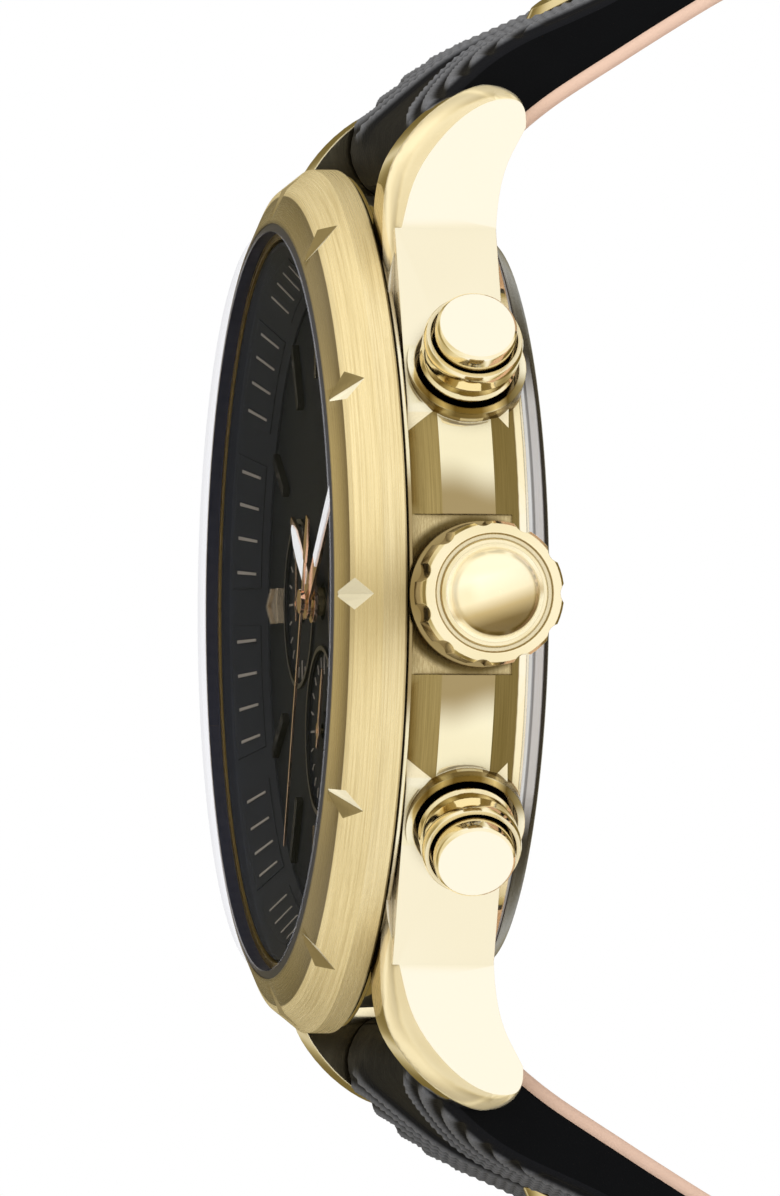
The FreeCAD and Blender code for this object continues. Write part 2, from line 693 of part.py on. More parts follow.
node(make_crown(), radial(0, D.crown_x, D.crown_z))
node(cylinder("winding_stem", D.stem_radius, STEM_LENGTH),
     radial(0, D.crown_x + STEM_SOCKET - STEM_LENGTH, D.crown_z))
node(turned("sliding_pinion", [
    (0.65, 0), (1.1, 0), (1.1, 0.6), (0.85, 0.75), (0.85, 1.0), (1.1, 1.15), (1.1, 1.7),
    (0.65, 1.7)]), radial(0, 11.2, D.crown_z))
node(turned("crown_tube", rect(1.2, 0, D.tube_radius, 4.5)), radial(0, 18.4, D.crown_z))
node(turned("stem_gasket", rect(0.66, 0, 1.2, 0.55)), radial(0, 21.6, D.crown_z))


# ---------------------------------------------------------------- pushers
def coil_spring(wire, mean, pitch, turns, start, segments=16, sides=6):
    """A coil spring about z with a six-sided wire, made of flat faces."""
    rings, faces = [], []
    for i in range(turns * segments + 1):
        a = 2 * math.pi * i / segments
        outward = V(math.cos(a), math.sin(a), 0)
        tangent = V(-math.sin(a) * mean, math.cos(a) * mean, pitch / (2 * math.pi)).normalize()
        centre = outward * mean + V(0, 0, start + pitch * i / segments)
        side = tangent.cross(outward)
        corners = [2 * math.pi * k / sides for k in range(sides)]
        rings.append([centre + outward * (wire * math.cos(c)) + side * (wire * math.sin(c))
                      for c in corners])
    for p, q in zip(rings, rings[1:]):
        for k in range(sides):
            n = (k + 1) % sides
            faces.append(Part.Face(Part.makePolygon([p[k], p[n], q[n], p[k]])))
            faces.append(Part.Face(Part.makePolygon([p[k], q[n], q[k], p[k]])))
    for ring in (rings[0], rings[-1]):
        faces.append(Part.Face(Part.makePolygon(ring + [ring[0]])))
    solid = Part.makeSolid(Part.makeShell(faces))
    return solid if solid.Volume > 0 else solid.reversed()


for (sign, angle), name in zip(PUSHER_SIDES, ("upper", "lower")):
    axis = radial(angle, 0, D.pusher_z)
    cap_start = D.tube_end - 1.1
    node(turned("pusher_" + name, [
        (0, 16.7), (0.6, 16.7), (0.6, cap_start), (D.cap_radius, cap_start),
        (D.cap_radius, D.cap_end - 0.22), (D.cap_radius - 0.05, D.cap_end - 0.1),
        (D.cap_radius - 0.16, D.cap_end), (0, D.cap_end)]), axis)
    node(turned("pusher_tube_" + name, [
        (0.68, 18.4), (2.0, 18.4), (2.0, 20.4), (2.45, 20.4), (2.45, 22.2), (2.32, 22.4),
        (2.32, 22.85), (2.5, 23.15), (2.52, 24.05), (2.42, D.tube_end), (2.22, D.tube_end),
        (2.17, D.tube_end - 0.1), (2.17, 22.0), (1.62, 22.0), (1.62, 20.2), (0.68, 20.2)]), axis)
    node(fixed_shape("pusher_spring_" + name, coil_spring(
        wire=0.18, mean=1.14, pitch=0.8, turns=3, start=20.42)), axis)

# ---------------------------------------------------------------- strap
# A station on a strap half's centre line is (length from the spring bar, depth behind the
# bezel rim, distance from the x axis, heading in degrees from straight back).
# side is 1 for the 12 o'clock half and -1 for the 6 o'clock half.
STEPS = 400
BAR_BORE = 0.84
BAR_RADIUS = 0.76
END_RADIUS = 1.5                        # rounded end at the buckle
TAPER_START, TAPER_RUN = 9, 33          # where the strap thins
TIP_LENGTH = 9                          # where the long half narrows to its tip


def centre_line(length, bend):
    depth, y = D.rim_z.value - D.bar_z.value, D.bar_y.value
    step = length / STEPS
    stations = []
    for i in range(STEPS + 1):
        along = i * step
        if along < 6:
            heading = 48 - 15 * along / 6
        elif along < 14:
            heading = 33 - 2.5 * (along - 6) / 8
        else:
            heading = 30.5 - math.degrees((along - 14) / bend)
        stations.append((along, depth, y, heading))
        depth += step * math.cos(math.radians(heading))
        y += step * math.sin(math.radians(heading))
    return stations


def station_at(stations, along):
    return min(stations, key=lambda station: abs(station[0] - along))


def thick_at(along):
    thick, thin = D.strap_thick.value, D.strap_thin.value
    taper = (along - TAPER_START) / TAPER_RUN
    return thick + (thin - thick) * min(1.0, max(0.0, taper))


def wide_at(along, length):
    wide, narrow = D.strap_wide.value, D.strap_end_wide.value
    return wide + (narrow - wide) * min(1.0, along / (length * 0.85))


def section(station, side, half_width, low, high):
    """Rectangle across the strap, between two offsets outward from the centre line."""
    along, depth, y, heading = station
    a = math.radians(heading)
    points = [V(x, side * (y + math.cos(a) * offset),
                D.rim_z.value - (depth - math.sin(a) * offset))
              for x, offset in rect(-half_width, low, half_width, high)]
    return Part.makePolygon(points + [points[0]])


def frame_at(station, side, offset=0.0):
    """Placement on the centre line: local x runs along the strap, z outward."""
    along, depth, y, heading = station
    a = math.radians(heading)
    tangent = V(0, side * math.sin(a), -math.cos(a))
    outward = V(0, side * math.cos(a), math.sin(a))
    across = outward.cross(tangent)
    origin = V(0, side * y, D.rim_z.value - depth) + outward * offset
    return FreeCAD.Placement(FreeCAD.Matrix(
        tangent.x, across.x, outward.x, origin.x,
        tangent.y, across.y, outward.y, origin.y,
        tangent.z, across.z, outward.z, origin.z,
        0, 0, 0, 1))


def rod_across(frame, radius, width):
    rod = Part.makeCylinder(radius, width, V(0, -width / 2, 0), V(0, 1, 0))
    rod.Placement = frame
    return rod


def strap(name, side, length, bend, sections, pointed):
    """One strap half and its lining; returns the centre line."""
    stations = centre_line(length, bend)
    spacing = STEPS / (sections - 1)
    outer_sections, lining_sections = [], []
    for i in range(sections):
        station = stations[int(round(i * spacing))]
        along = station[0]
        half_thick = thick_at(along) / 2
        width = wide_at(along, length)
        if pointed and along > length - TIP_LENGTH:
            width *= 1.0 - 0.55 * ((along - length + TIP_LENGTH) / TIP_LENGTH) ** 2
        seam = -half_thick + D.lining_thick.value
        outer_sections.append(section(station, side, width / 2, seam, half_thick))
        if along > 2.5 and (pointed or along < length - 3.0):
            lining_sections.append(section(station, side, width / 2, -half_thick, seam))
    outer = Part.makeLoft(outer_sections, True, True)
    lining = Part.makeLoft(lining_sections, True, True)

    # rounded end around the spring bar
    bar = frame_at(stations[0], side)
    width = D.strap_wide.value
    end_rod = rod_across(bar, D.strap_thick.value / 2, width)
    outer = outer.fuse(end_rod).cut(rod_across(bar, BAR_BORE, width + 2)).cut(lining)
    lining = lining.cut(end_rod)
    if pointed:
        for k in range(7):
            hole = Part.makeCylinder(1.0, 8, V(0, 0, -4))
            hole.Placement = frame_at(station_at(stations, length - 16 - 6.5 * k), side)
            outer = outer.cut(hole)
            lining = lining.cut(hole)
    else:
        # rounded end around the buckle's bar, slotted for the tongue
        end = frame_at(stations[-1], side)
        outer = outer.fuse(rod_across(end, END_RADIUS, D.strap_end_wide.value))
        outer = outer.cut(rod_across(end, BAR_BORE, width))
        slot = Part.makeBox(6, 3.4, 6, V(-2.6, -1.7, -3))
        slot.Placement = end
        outer = outer.cut(slot)
    node(fixed_shape("strap_" + name, outer.removeSplitter()))
    node(fixed_shape("strap_lining_" + name, lining))
    return stations


short_line = strap("12", 1, D.short_length.value, D.short_bend.value, 24, pointed=False)
long_line = strap("6", -1, D.long_length.value, D.long_bend.value, 34, pointed=True)

for name, side, line in (("12", 1, short_line), ("6", -1, long_line)):
    station = station_at(line, 12.6)
    node(turned("strap_stud_" + name, [
        (0, 0), (4.6, 0), (4.6, 0.45), (4.1, 0.8), (3.2, 0.8), (2.9, 1.15), (2.0, 1.5),
        (1.0, 1.68), (0, 1.74)]), frame_at(station, side, thick_at(station[0]) / 2 + 0.02))
    node(turned("spring_bar_" + name, [
        (0, -12.4), (0.38, -12.4), (0.38, -10.9), (BAR_RADIUS, -10.8), (BAR_RADIUS, 10.8),
        (0.38, 10.9), (0.38, 12.4), (0, 12.4)]),
        place(0, side * D.bar_y.value, D.bar_z, CROWNWARD))


# ---------------------------------------------------------------- keepers
def keeper(label, along, length, room):
    """Band around both strap halves; room is its play around the short half."""
    half_width = wide_at(along - 4, D.short_length.value) / 2 + room
    half_thick = thick_at(along) / 2
    bulge = length * length / 8 / D.short_bend.value    # rise of the bent strap inside
    low, high = -half_thick - room - 0.02 - bulge, half_thick + 2.3
    body = padded(label, [rect(-half_width - 1.0, low - 0.8, half_width + 1.0, high + 1.0),
                          rect(-half_width, low, half_width, high)], 0, length, middle=True)
    # local x goes across the strap, y outward and z along it
    turn = FreeCAD.Placement(FreeCAD.Matrix(0, 0, 1, 0, 1, 0, 0, 0, 0, 1, 0, 0, 0, 0, 0, 1))
    node(body, frame_at(station_at(short_line, along), 1) * turn)


keeper("fixed_keeper", along=62.0, length=5.0, room=0.06)
keeper("free_keeper", along=51.0, length=6.0, room=0.5)

# ---------------------------------------------------------------- buckle
BUCKLE = frame_at(short_line[-1], 1)
INNER = D.strap_end_wide.value / 2 + 0.3        # half the width inside the frame
BAR_END = INNER + 1.6


def make_buckle_frame():
    """Three-sided frame, open towards the strap, with a cross hole for the bar."""
    outer = INNER + 1.7
    body = padded("buckle_frame", [[
        (-1.3, -outer), (11.6, -outer), (13.2, -INNER + 0.6), (13.2, INNER - 0.6),
        (11.6, outer), (-1.3, outer), (-1.3, INNER), (10.6, INNER), (10.6, -INNER),
        (-1.3, -INNER)]], -1.0, 2.0)
    pocket(body, [circle(BAR_RADIUS)], 0, 40, role="XZ_Plane", middle=True, label="bar_hole")
    return body


def make_buckle_tongue():
    """Eye around the bar and a blade resting on the frame."""
    body = padded("buckle_tongue", [circle(1.45), circle(0.82)], 0, 2.4,
                  role="XZ_Plane", middle=True)
    pad(body, [[(1.1, 0.55), (10.0, 1.04), (13.6, 1.04), (13.6, 1.6), (10.0, 1.9),
                (1.1, 1.35)]], 0, 2.2, role="XZ_Plane", middle=True)
    return body


node(make_buckle_frame(), BUCKLE)
node(turned("buckle_bar", rect(0, -BAR_END, BAR_RADIUS, BAR_END)),
     BUCKLE * place(rotation=FreeCAD.Rotation(V(1, 0, 0), 90)))
node(make_buckle_tongue(), BUCKLE)

# ---------------------------------------------------------------- checks and files
doc.recompute()
bad = [obj.Name for obj in doc.Objects if "Invalid" in obj.State or "Error" in obj.State]
for obj in NODES:
    if obj.Shape.isNull() or not obj.Shape.isValid() or len(obj.Shape.Solids) == 0:
        bad.append(obj.Label)
if bad:
    raise RuntimeError("failed: %s" % bad)
labels = [obj.Label for obj in NODES]
assert len(set(labels)) == len(labels), labels
os.makedirs("parts", exist_ok=True)
for obj in NODES:
    obj.Shape.exportStep("parts/%s.step" % obj.Label)
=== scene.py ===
"""A gold chronograph watch on a black leather strap, standing on a pale floor.

The dial faces -Y, 3 o'clock and the crown lie on +X, and 12 o'clock on +Z. The CAD pieces get
materials and shading; the strap, its keepers, the dial's small parts and the pusher springs are
built here. Sizes are millimetres unless a name or comment says otherwise.
"""
import bpy, bmesh, math
import numpy as np
from mathutils import Vector, Matrix


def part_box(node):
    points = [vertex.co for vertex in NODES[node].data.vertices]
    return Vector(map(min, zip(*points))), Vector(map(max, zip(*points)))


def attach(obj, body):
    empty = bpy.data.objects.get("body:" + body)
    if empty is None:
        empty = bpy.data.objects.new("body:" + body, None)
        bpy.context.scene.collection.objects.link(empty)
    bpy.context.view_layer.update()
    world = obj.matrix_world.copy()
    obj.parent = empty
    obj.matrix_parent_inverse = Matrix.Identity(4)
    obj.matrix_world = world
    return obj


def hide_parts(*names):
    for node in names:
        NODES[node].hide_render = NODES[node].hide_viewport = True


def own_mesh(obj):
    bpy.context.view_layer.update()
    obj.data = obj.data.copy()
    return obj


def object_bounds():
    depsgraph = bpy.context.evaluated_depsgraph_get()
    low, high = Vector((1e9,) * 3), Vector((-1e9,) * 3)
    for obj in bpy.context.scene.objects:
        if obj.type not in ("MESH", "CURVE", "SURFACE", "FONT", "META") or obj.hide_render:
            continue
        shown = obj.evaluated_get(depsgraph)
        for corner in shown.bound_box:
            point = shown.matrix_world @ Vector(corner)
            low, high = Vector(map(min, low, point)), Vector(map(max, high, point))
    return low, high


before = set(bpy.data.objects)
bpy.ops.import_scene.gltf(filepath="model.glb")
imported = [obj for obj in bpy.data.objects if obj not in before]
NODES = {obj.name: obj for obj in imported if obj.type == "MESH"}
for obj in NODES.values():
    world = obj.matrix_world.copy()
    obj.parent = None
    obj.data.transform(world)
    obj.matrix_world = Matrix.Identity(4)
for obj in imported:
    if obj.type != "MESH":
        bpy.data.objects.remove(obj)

MM = 0.001                  # metres in a millimetre
scene = bpy.context.scene
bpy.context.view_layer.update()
# How far the drawing's zero plane stands in front of Y = 0.
ZERO_PLANE = 8.85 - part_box("case_back")[1].y / MM

CASE_MID_Y = 4.55           # middle of the case's thickness, behind the zero plane
CROWN_Y = 4.7               # middle of the crown's painted rings
PUSHER_ANGLE = math.radians(32)     # pusher axes above and below the crown's axis
PUSHER_COS, PUSHER_SIN = math.cos(PUSHER_ANGLE), math.sin(PUSHER_ANGLE)


# ------------------------------------------------------------------ shader node helpers
def operation(kind, swapped=False):
    """A Field method that adds one Math node; swapped puts the other value first."""
    def build(self, other=None):
        return self.net.calc(kind, *((other, self) if swapped else (self, other)))
    return build


class Field:
    """A node's output; arithmetic on it adds Math nodes to its tree."""

    def __init__(self, net, socket):
        self.net, self.socket = net, socket

    __add__ = operation("ADD")
    __radd__ = operation("ADD", swapped=True)
    __sub__ = operation("SUBTRACT")
    __rsub__ = operation("SUBTRACT", swapped=True)
    __mul__ = operation("MULTIPLY")
    __truediv__ = operation("DIVIDE")
    __pow__ = operation("POWER")
    __abs__ = operation("ABSOLUTE")
    min = operation("MINIMUM")
    max = operation("MAXIMUM")
    sqrt = operation("SQRT")
    exp = operation("EXPONENT")
    sin = operation("SINE")
    cos = operation("COSINE")
    sign = operation("SIGN")
    arctan2 = operation("ARCTAN2")

    def step(self, start, end):
        """Smooth 0..1 as the value goes from start to end."""
        inputs = {"Value": self, "From Min": start, "From Max": end}
        return self.net.field("ShaderNodeMapRange", inputs, interpolation_type="SMOOTHSTEP")

    def ramp(self, stops):
        """Colour ramp; stops are (position, colour)."""
        node = self.net.new("ShaderNodeValToRGB", {0: self})
        elements = node.color_ramp.elements
        while len(elements) < len(stops):
            elements.new(0.5)
        for element, (position, colour) in zip(elements, stops):
            element.position = position
            element.color = (*colour, 1)
        return self.net.out(node)


class Net:
    """Writes the node tree of a material or world."""

    def __init__(self, owner, output_kind):
        owner.use_nodes = True
        self.owner, self.tree = owner, owner.node_tree
        self.tree.nodes.clear()
        self.output = self.new(output_kind)

    def put(self, socket, value):
        """Links a Field, or sets a plain value; colours get alpha 1."""
        if isinstance(value, Field):
            self.tree.links.new(value.socket, socket)
        elif value is not None:
            socket.default_value = (*value, 1) if socket.type == "RGBA" else value

    def new(self, kind, inputs=None, **props):
        node = self.tree.nodes.new(kind)
        for key, value in props.items():
            setattr(node, key, value)
        for key, value in (inputs or {}).items():
            self.put(node.inputs[key], value)
        return node

    def out(self, node, key=0):
        return Field(self, node.outputs[key])

    def field(self, kind, inputs=None, **props):
        return self.out(self.new(kind, inputs, **props))

    def show(self, shader):
        self.put(self.output.inputs[0], self.out(shader))

    def blend(self, factor, first, second):
        """Mixes two shader nodes."""
        return self.new("ShaderNodeMixShader", {0: factor, 1: self.out(first), 2: self.out(second)})

    def calc(self, kind, *values):
        return self.field("ShaderNodeMath", dict(enumerate(values)), operation=kind)

    def vector_calc(self, kind, *values):
        return self.field("ShaderNodeVectorMath", dict(enumerate(values)), operation=kind)

    def split(self, vector):
        node = self.new("ShaderNodeSeparateXYZ", {0: vector})
        return [self.out(node, axis) for axis in range(3)]

    def noise(self, vector, scale, detail=2.0, rough=0.5):
        return self.field("ShaderNodeTexNoise", {"Vector": vector, "Scale": scale,
                                                 "Detail": detail, "Roughness": rough})

    def ring_vector(self, radius, y, angle, across, around):
        """Texture place that follows rings about the dial's axis, with a scale each way."""
        parts = (radius * across, y * across, angle * around)
        return self.field("ShaderNodeCombineXYZ", dict(enumerate(parts)))

    def mix(self, factor, below, above):
        return self.out(self.new("ShaderNodeMix", {0: factor, 6: below, 7: above},
                                 data_type="RGBA"), 2)

    def bump(self, height, strength, depth, normal=None):
        return self.field("ShaderNodeBump", {"Height": height, "Strength": strength,
                                             "Distance": depth * MM, "Normal": normal})

    def position(self):
        """Position in millimetres, counted from the drawing's zero plane."""
        place = self.out(self.new("ShaderNodeTexCoord"), "Object")
        return self.vector_calc("MULTIPLY_ADD", place, (1000, 1000, 1000), (0, ZERO_PLANE, 0))

    def normal(self, kind):
        return self.split(self.out(self.new("ShaderNodeNewGeometry"), kind))

    def crevice(self, reach):
        """1 deep in a groove or corner, 0 on open faces."""
        node = self.new("ShaderNodeAmbientOcclusion", {"Distance": reach * MM}, samples=5)
        return self.out(node, "AO").step(0.92, 0.35)

    def round_edge(self, radius):
        return self.field("ShaderNodeBevel", {"Radius": radius * MM}, samples=6)


def length_of(first, second):
    return (first * first + second * second).sqrt()


def crown_radius(y, z, middle):
    """Distance from an axis along X at the given depth."""
    return ((y - middle) ** 2.0 + z * z).sqrt()


def material(name, metallic=0.0):
    net = Net(bpy.data.materials.new(name), "ShaderNodeOutputMaterial")
    shader = net.new("ShaderNodeBsdfPrincipled", {"Metallic": metallic})
    net.show(shader)
    return net, shader


def finish(net, shader, colour, roughness, normal, **more):
    """Connects a surface's channels and returns its material."""
    channels = {"Base Color": colour, "Roughness": roughness, "Normal": normal, **more}
    for key, value in channels.items():
        net.put(shader.inputs[key], value)
    return net.owner


# ------------------------------------------------------------------ metals
GOLD = (0.98, 0.855, 0.565)
GOLD_WARM = (0.93, 0.88, 0.78)      # factors on a metal's colour in its soft clouds
LINE_TINT = (0.8, 0.74, 0.6)        # factors on a metal's colour in its brushed lines
STRETCH = {"x": (0.12, 9, 9), "y": (9, 0.12, 9)}    # texture scale for straight lines
LINE_DEPTH = 0.02                   # bump depth of brushed lines


def scaled(colour, factors):
    return tuple(c * k for c, k in zip(colour, factors))


def metal_parts(name, base, rough=0.08, grain=None, grain_strength=0.0, edge=0.07,
                metallic=1.0, specular=0.5, mask=None, mask_colour=None):
    """Polished or brushed metal.

    grain: "ring" (lines round the dial's axis), or "x" or "y" (lines along that axis).
    edge: radius of softened edges. mask: function of (net, x, y, z) that lays on mask_colour.
    """
    net, shader = material(name, metallic)
    position = net.position()
    x, y, z = net.split(position)
    soft = net.noise(position, scale=0.35, detail=3.0)
    colour = net.mix(soft * 0.08, base, scaled(base, GOLD_WARM))
    normal = net.round_edge(edge) if edge else None
    roughness = rough + net.noise(position, scale=1.7, detail=4.0) * 0.03
    if grain:
        if grain == "ring":
            place = net.ring_vector(length_of(x, z), y, z.arctan2(x), across=9.0, around=1.6)
        else:
            place = net.vector_calc("MULTIPLY", position, STRETCH[grain])
        lines = net.noise(place, scale=1.6, detail=6.0, rough=0.7)
        normal = net.bump(lines, strength=grain_strength, depth=LINE_DEPTH, normal=normal)
        roughness = roughness + (lines - 0.5) * 0.28
        colour = net.mix(lines.step(0.35, 0.72) * 0.4, colour, scaled(base, LINE_TINT))
    # Painted shade: gold parts darken in grooves and corners.
    if base == GOLD:
        colour = net.mix(net.crevice(reach=0.8) * 0.8, colour, (0.17, 0.11, 0.03))
    if mask is not None:
        colour = net.mix(mask(net, x, y, z), colour, mask_colour)
    finish(net, shader, colour, roughness, normal, **{"Specular IOR Level": specular})
    return net, shader, colour


def metal(name, base, **options):
    return metal_parts(name, base, **options)[0].owner


def all_but_nine(net, x, y, z):
    """Everything except the index at 9 o'clock."""
    return 1.0 - x.step(-9.0, -10.0) * abs(z).step(1.9, 1.7)


def back_shade(net, x, y, z):
    """Painted shade on the case back: dark rear edge, a thin line before it, and dark zones at 12
    and 6 o'clock.
    """
    far_ends = abs(z).step(9.5, 12.5)
    rear_edge = y.step(8.42, 8.56)
    line = y.step(7.72, 7.78) * y.step(7.98, 7.90)
    outer = length_of(x, z).step(18.12, 18.3)
    return outer * (rear_edge + line * 0.6 + far_ends * y.step(7.35, 8.1)).min(1.0)


def pusher_end_highlight(net, x, y, z):
    """Painted highlight on faces that look outward along a pusher's axis."""
    nx, ny, nz = net.normal("Normal")
    return (nx * PUSHER_COS + abs(nz) * PUSHER_SIN).step(0.9, 0.985)


def crown_shade(net, x, y, z):
    """Painted shade on the rim and lower part of the crown's dome, and on the part near the case.
    """
    nx, ny, nz = net.normal("Normal")
    radius = crown_radius(y, z, CROWN_Y)
    dome = radius.step(2.45, 2.3) * x.step(25.6, 25.8)
    tone = radius.step(1.1, 2.35) * 0.55 + nz.step(0.12, -0.42) * 0.95
    near_case = (1.0 - dome) * (x.step(25.1, 24.3) * 0.85)
    return (dome * tone).min(0.9) + near_case


# Painted highlight and shade across the crown's end: position and colour from its upper front to
# its lower rear.
CROWN_END_LIGHT = [
    (0.0, (0.86, 0.75, 0.48)), (0.30, (0.97, 0.88, 0.64)), (0.52, (0.93, 0.80, 0.52)),
    (0.66, (0.55, 0.41, 0.18)), (0.80, (0.20, 0.13, 0.035)), (1.0, (0.14, 0.09, 0.02))]


def crown_gold():
    """Polished crown whose end gets painted highlight and shade from top to bottom."""
    net, shader, colour = metal_parts("gold_crown", GOLD, rough=0.07, mask=crown_shade,
                                      mask_colour=(0.25, 0.165, 0.045))
    x, y, z = net.split(net.position())
    radius = crown_radius(y, z, CROWN_Y)
    end = radius.step(2.5, 2.42) * x.step(25.2, 25.4)
    lowness = (y - CROWN_Y) * 0.11 - z * 0.33
    tone = (lowness * 0.62 + 0.5).ramp(CROWN_END_LIGHT)
    # Painted highlight on the lower part of the end's rim.
    lit_rim = radius.step(2.12, 2.2) * lowness.step(0.15, 0.35)
    tone = net.mix(lit_rim, tone, (1.0, 0.90, 0.62))
    net.put(shader.inputs["Base Color"], net.mix(end, colour, tone))
    net.put(shader.inputs["Metallic"], 1.0 - end * 0.55)
    return net.owner


# Painted reflection over the case faces behind the pushers: position and colour from front to rear.
PUSHER_SEAT_REFLECTION = [
    (0.0, (0.62, 0.50, 0.25)), (0.16, (0.13, 0.085, 0.02)), (0.27, (0.60, 0.48, 0.22)),
    (0.36, (0.15, 0.10, 0.025)), (0.58, (0.22, 0.15, 0.04)), (0.70, (0.85, 0.72, 0.42)),
    (0.80, (0.12, 0.08, 0.02)), (1.0, (0.45, 0.35, 0.15))]


def case_gold():
    """Case middle: brushed panels on the flank, polished everywhere else, with painted highlights,
    shade and reflections.
    """
    net, shader = material("case_gold", metallic=1.0)
    position = net.position()
    x, y, z = net.split(position)
    nx, ny, nz = net.normal("True Normal")

    # Zones: the flank between the lugs, and the flat square to X round the crown.
    radius = length_of(x, z)
    flank = radius.step(20.77, 20.82) * abs(z).step(12.6, 12.4)
    tilted = abs(ny).step(0.2, 0.3)
    crown_flat = abs(x - 20.5).step(0.03, 0.02) * nx.step(0.95, 0.98) * abs(z).step(4.1, 4.0)
    brushed = (flank * tilted).min(nx.step(0.2, 0.3)).max(crown_flat)

    place = net.ring_vector(radius, y, z.arctan2(x), across=9.0, around=2.5)
    lines = net.noise(place, scale=1.6, detail=6.0, rough=0.7)
    soft = net.noise(position, scale=0.3, detail=3.0)
    colour = net.mix(soft * 0.08, GOLD, scaled(GOLD, GOLD_WARM))
    line_amount = brushed * (0.18 + lines.step(0.35, 0.72) * 0.35)
    colour = net.mix(line_amount, colour, (0.80, 0.66, 0.38))

    # Painted shade on the flank's front slope, then darker painted shade on its rear slope.
    centre_facet = radius.step(21.24, 21.3) * abs(ny).step(0.14, 0.08) * abs(z).step(12.6, 12.4)
    wall = flank * nx.step(0.2, 0.3)
    for start, end, light, dark in (
            (-0.16, -0.24, (0.42, 0.31, 0.12), (0.31, 0.225, 0.08)),
            (0.16, 0.24, (0.24, 0.17, 0.055), (0.18, 0.125, 0.035))):
        slope = wall * ny.step(start, end)
        colour = net.mix(slope, colour, net.mix(lines.step(0.3, 0.7), light, dark))

    # The upright facet between the slopes: painted pale highlight, and a dark painted reflection of
    # the crown near the crown.
    toward_front = y.step(5.6, 3.4) * 1.0
    colour = net.mix(centre_facet * 0.7, colour, (1.0, 0.93, 0.70))
    shade = centre_facet * (abs(z) - toward_front * 0.6).step(6.6, 4.3)
    colour = net.mix(shade * 0.92, colour, (0.34, 0.24, 0.09))

    # The lugs: painted shade on the slopes, painted highlight on the pale outer sides, rounded
    # parts less metallic.
    lugs = abs(z).step(12.6, 13.4)
    from_middle = abs(x)
    lug_slope = lugs * from_middle.step(14.7, 15.3) * abs(ny).step(0.06, 0.2)
    colour = net.mix(lug_slope * 0.42, colour, (0.42, 0.31, 0.12))
    outer_side = (nx.step(0.85, 0.9) * from_middle.step(14.9, 15.1)
                  * (1.0 - flank.max(crown_flat)))
    colour = net.mix(outer_side * 0.85, colour, (1.0, 0.925, 0.75))
    rounded = lugs * from_middle.step(13.6, 13.9) * (1.0 - outer_side)
    metallic = 1.0 - rounded * 0.5

    # Disc behind each pusher: painted reflection, striped from front to rear.
    height = abs(z)
    along = x * PUSHER_COS + height * PUSHER_SIN
    across = height * PUSHER_COS - x * PUSHER_SIN
    off_axis = (across * across + (y - CASE_MID_Y) ** 2.0).sqrt()
    seat = along.step(21.35, 21.5) * off_axis.step(3.2, 3.12) * across.step(-0.2, -1.4)
    bands = ((y - CASE_MID_Y + 3.1) * 0.161).ramp(PUSHER_SEAT_REFLECTION)
    colour = net.mix(seat, colour, bands)

    # Flat under the crown in a darker brushed tone, with a painted shadow under and round the
    # crown; then painted shade in all crevices.
    off_crown = crown_radius(y, z, CASE_MID_Y)
    flat_tone = net.mix(lines.step(0.3, 0.7), (0.66, 0.52, 0.26), (0.46, 0.345, 0.14))
    colour = net.mix(crown_flat * 0.85, colour, flat_tone)
    # Painted shadow under and round the crown.
    under_crown = crown_flat * (off_crown.step(4.15, 3.75) * 0.92)
    colour = net.mix(under_crown, colour, (0.10, 0.065, 0.015))
    # Painted shade in crevices.
    colour = net.mix(net.crevice(reach=1.0) * 0.85, colour, (0.16, 0.105, 0.03))

    roughness = 0.06 + brushed * (0.17 + (lines - 0.5) * 0.2)
    edge = net.round_edge(radius=0.09)
    normal = net.bump(lines * brushed, strength=0.5, depth=LINE_DEPTH, normal=edge)
    return finish(net, shader, colour, roughness, normal, Metallic=metallic)


# Painted shade over the bezel's inner band: position and colour outward.
BEZEL_BAND_SHADE = [
    (0.0, (0.07, 0.045, 0.008)), (0.12, (0.40, 0.295, 0.11)),
    (0.55, (0.30, 0.215, 0.07)), (1.0, (0.12, 0.075, 0.014))]


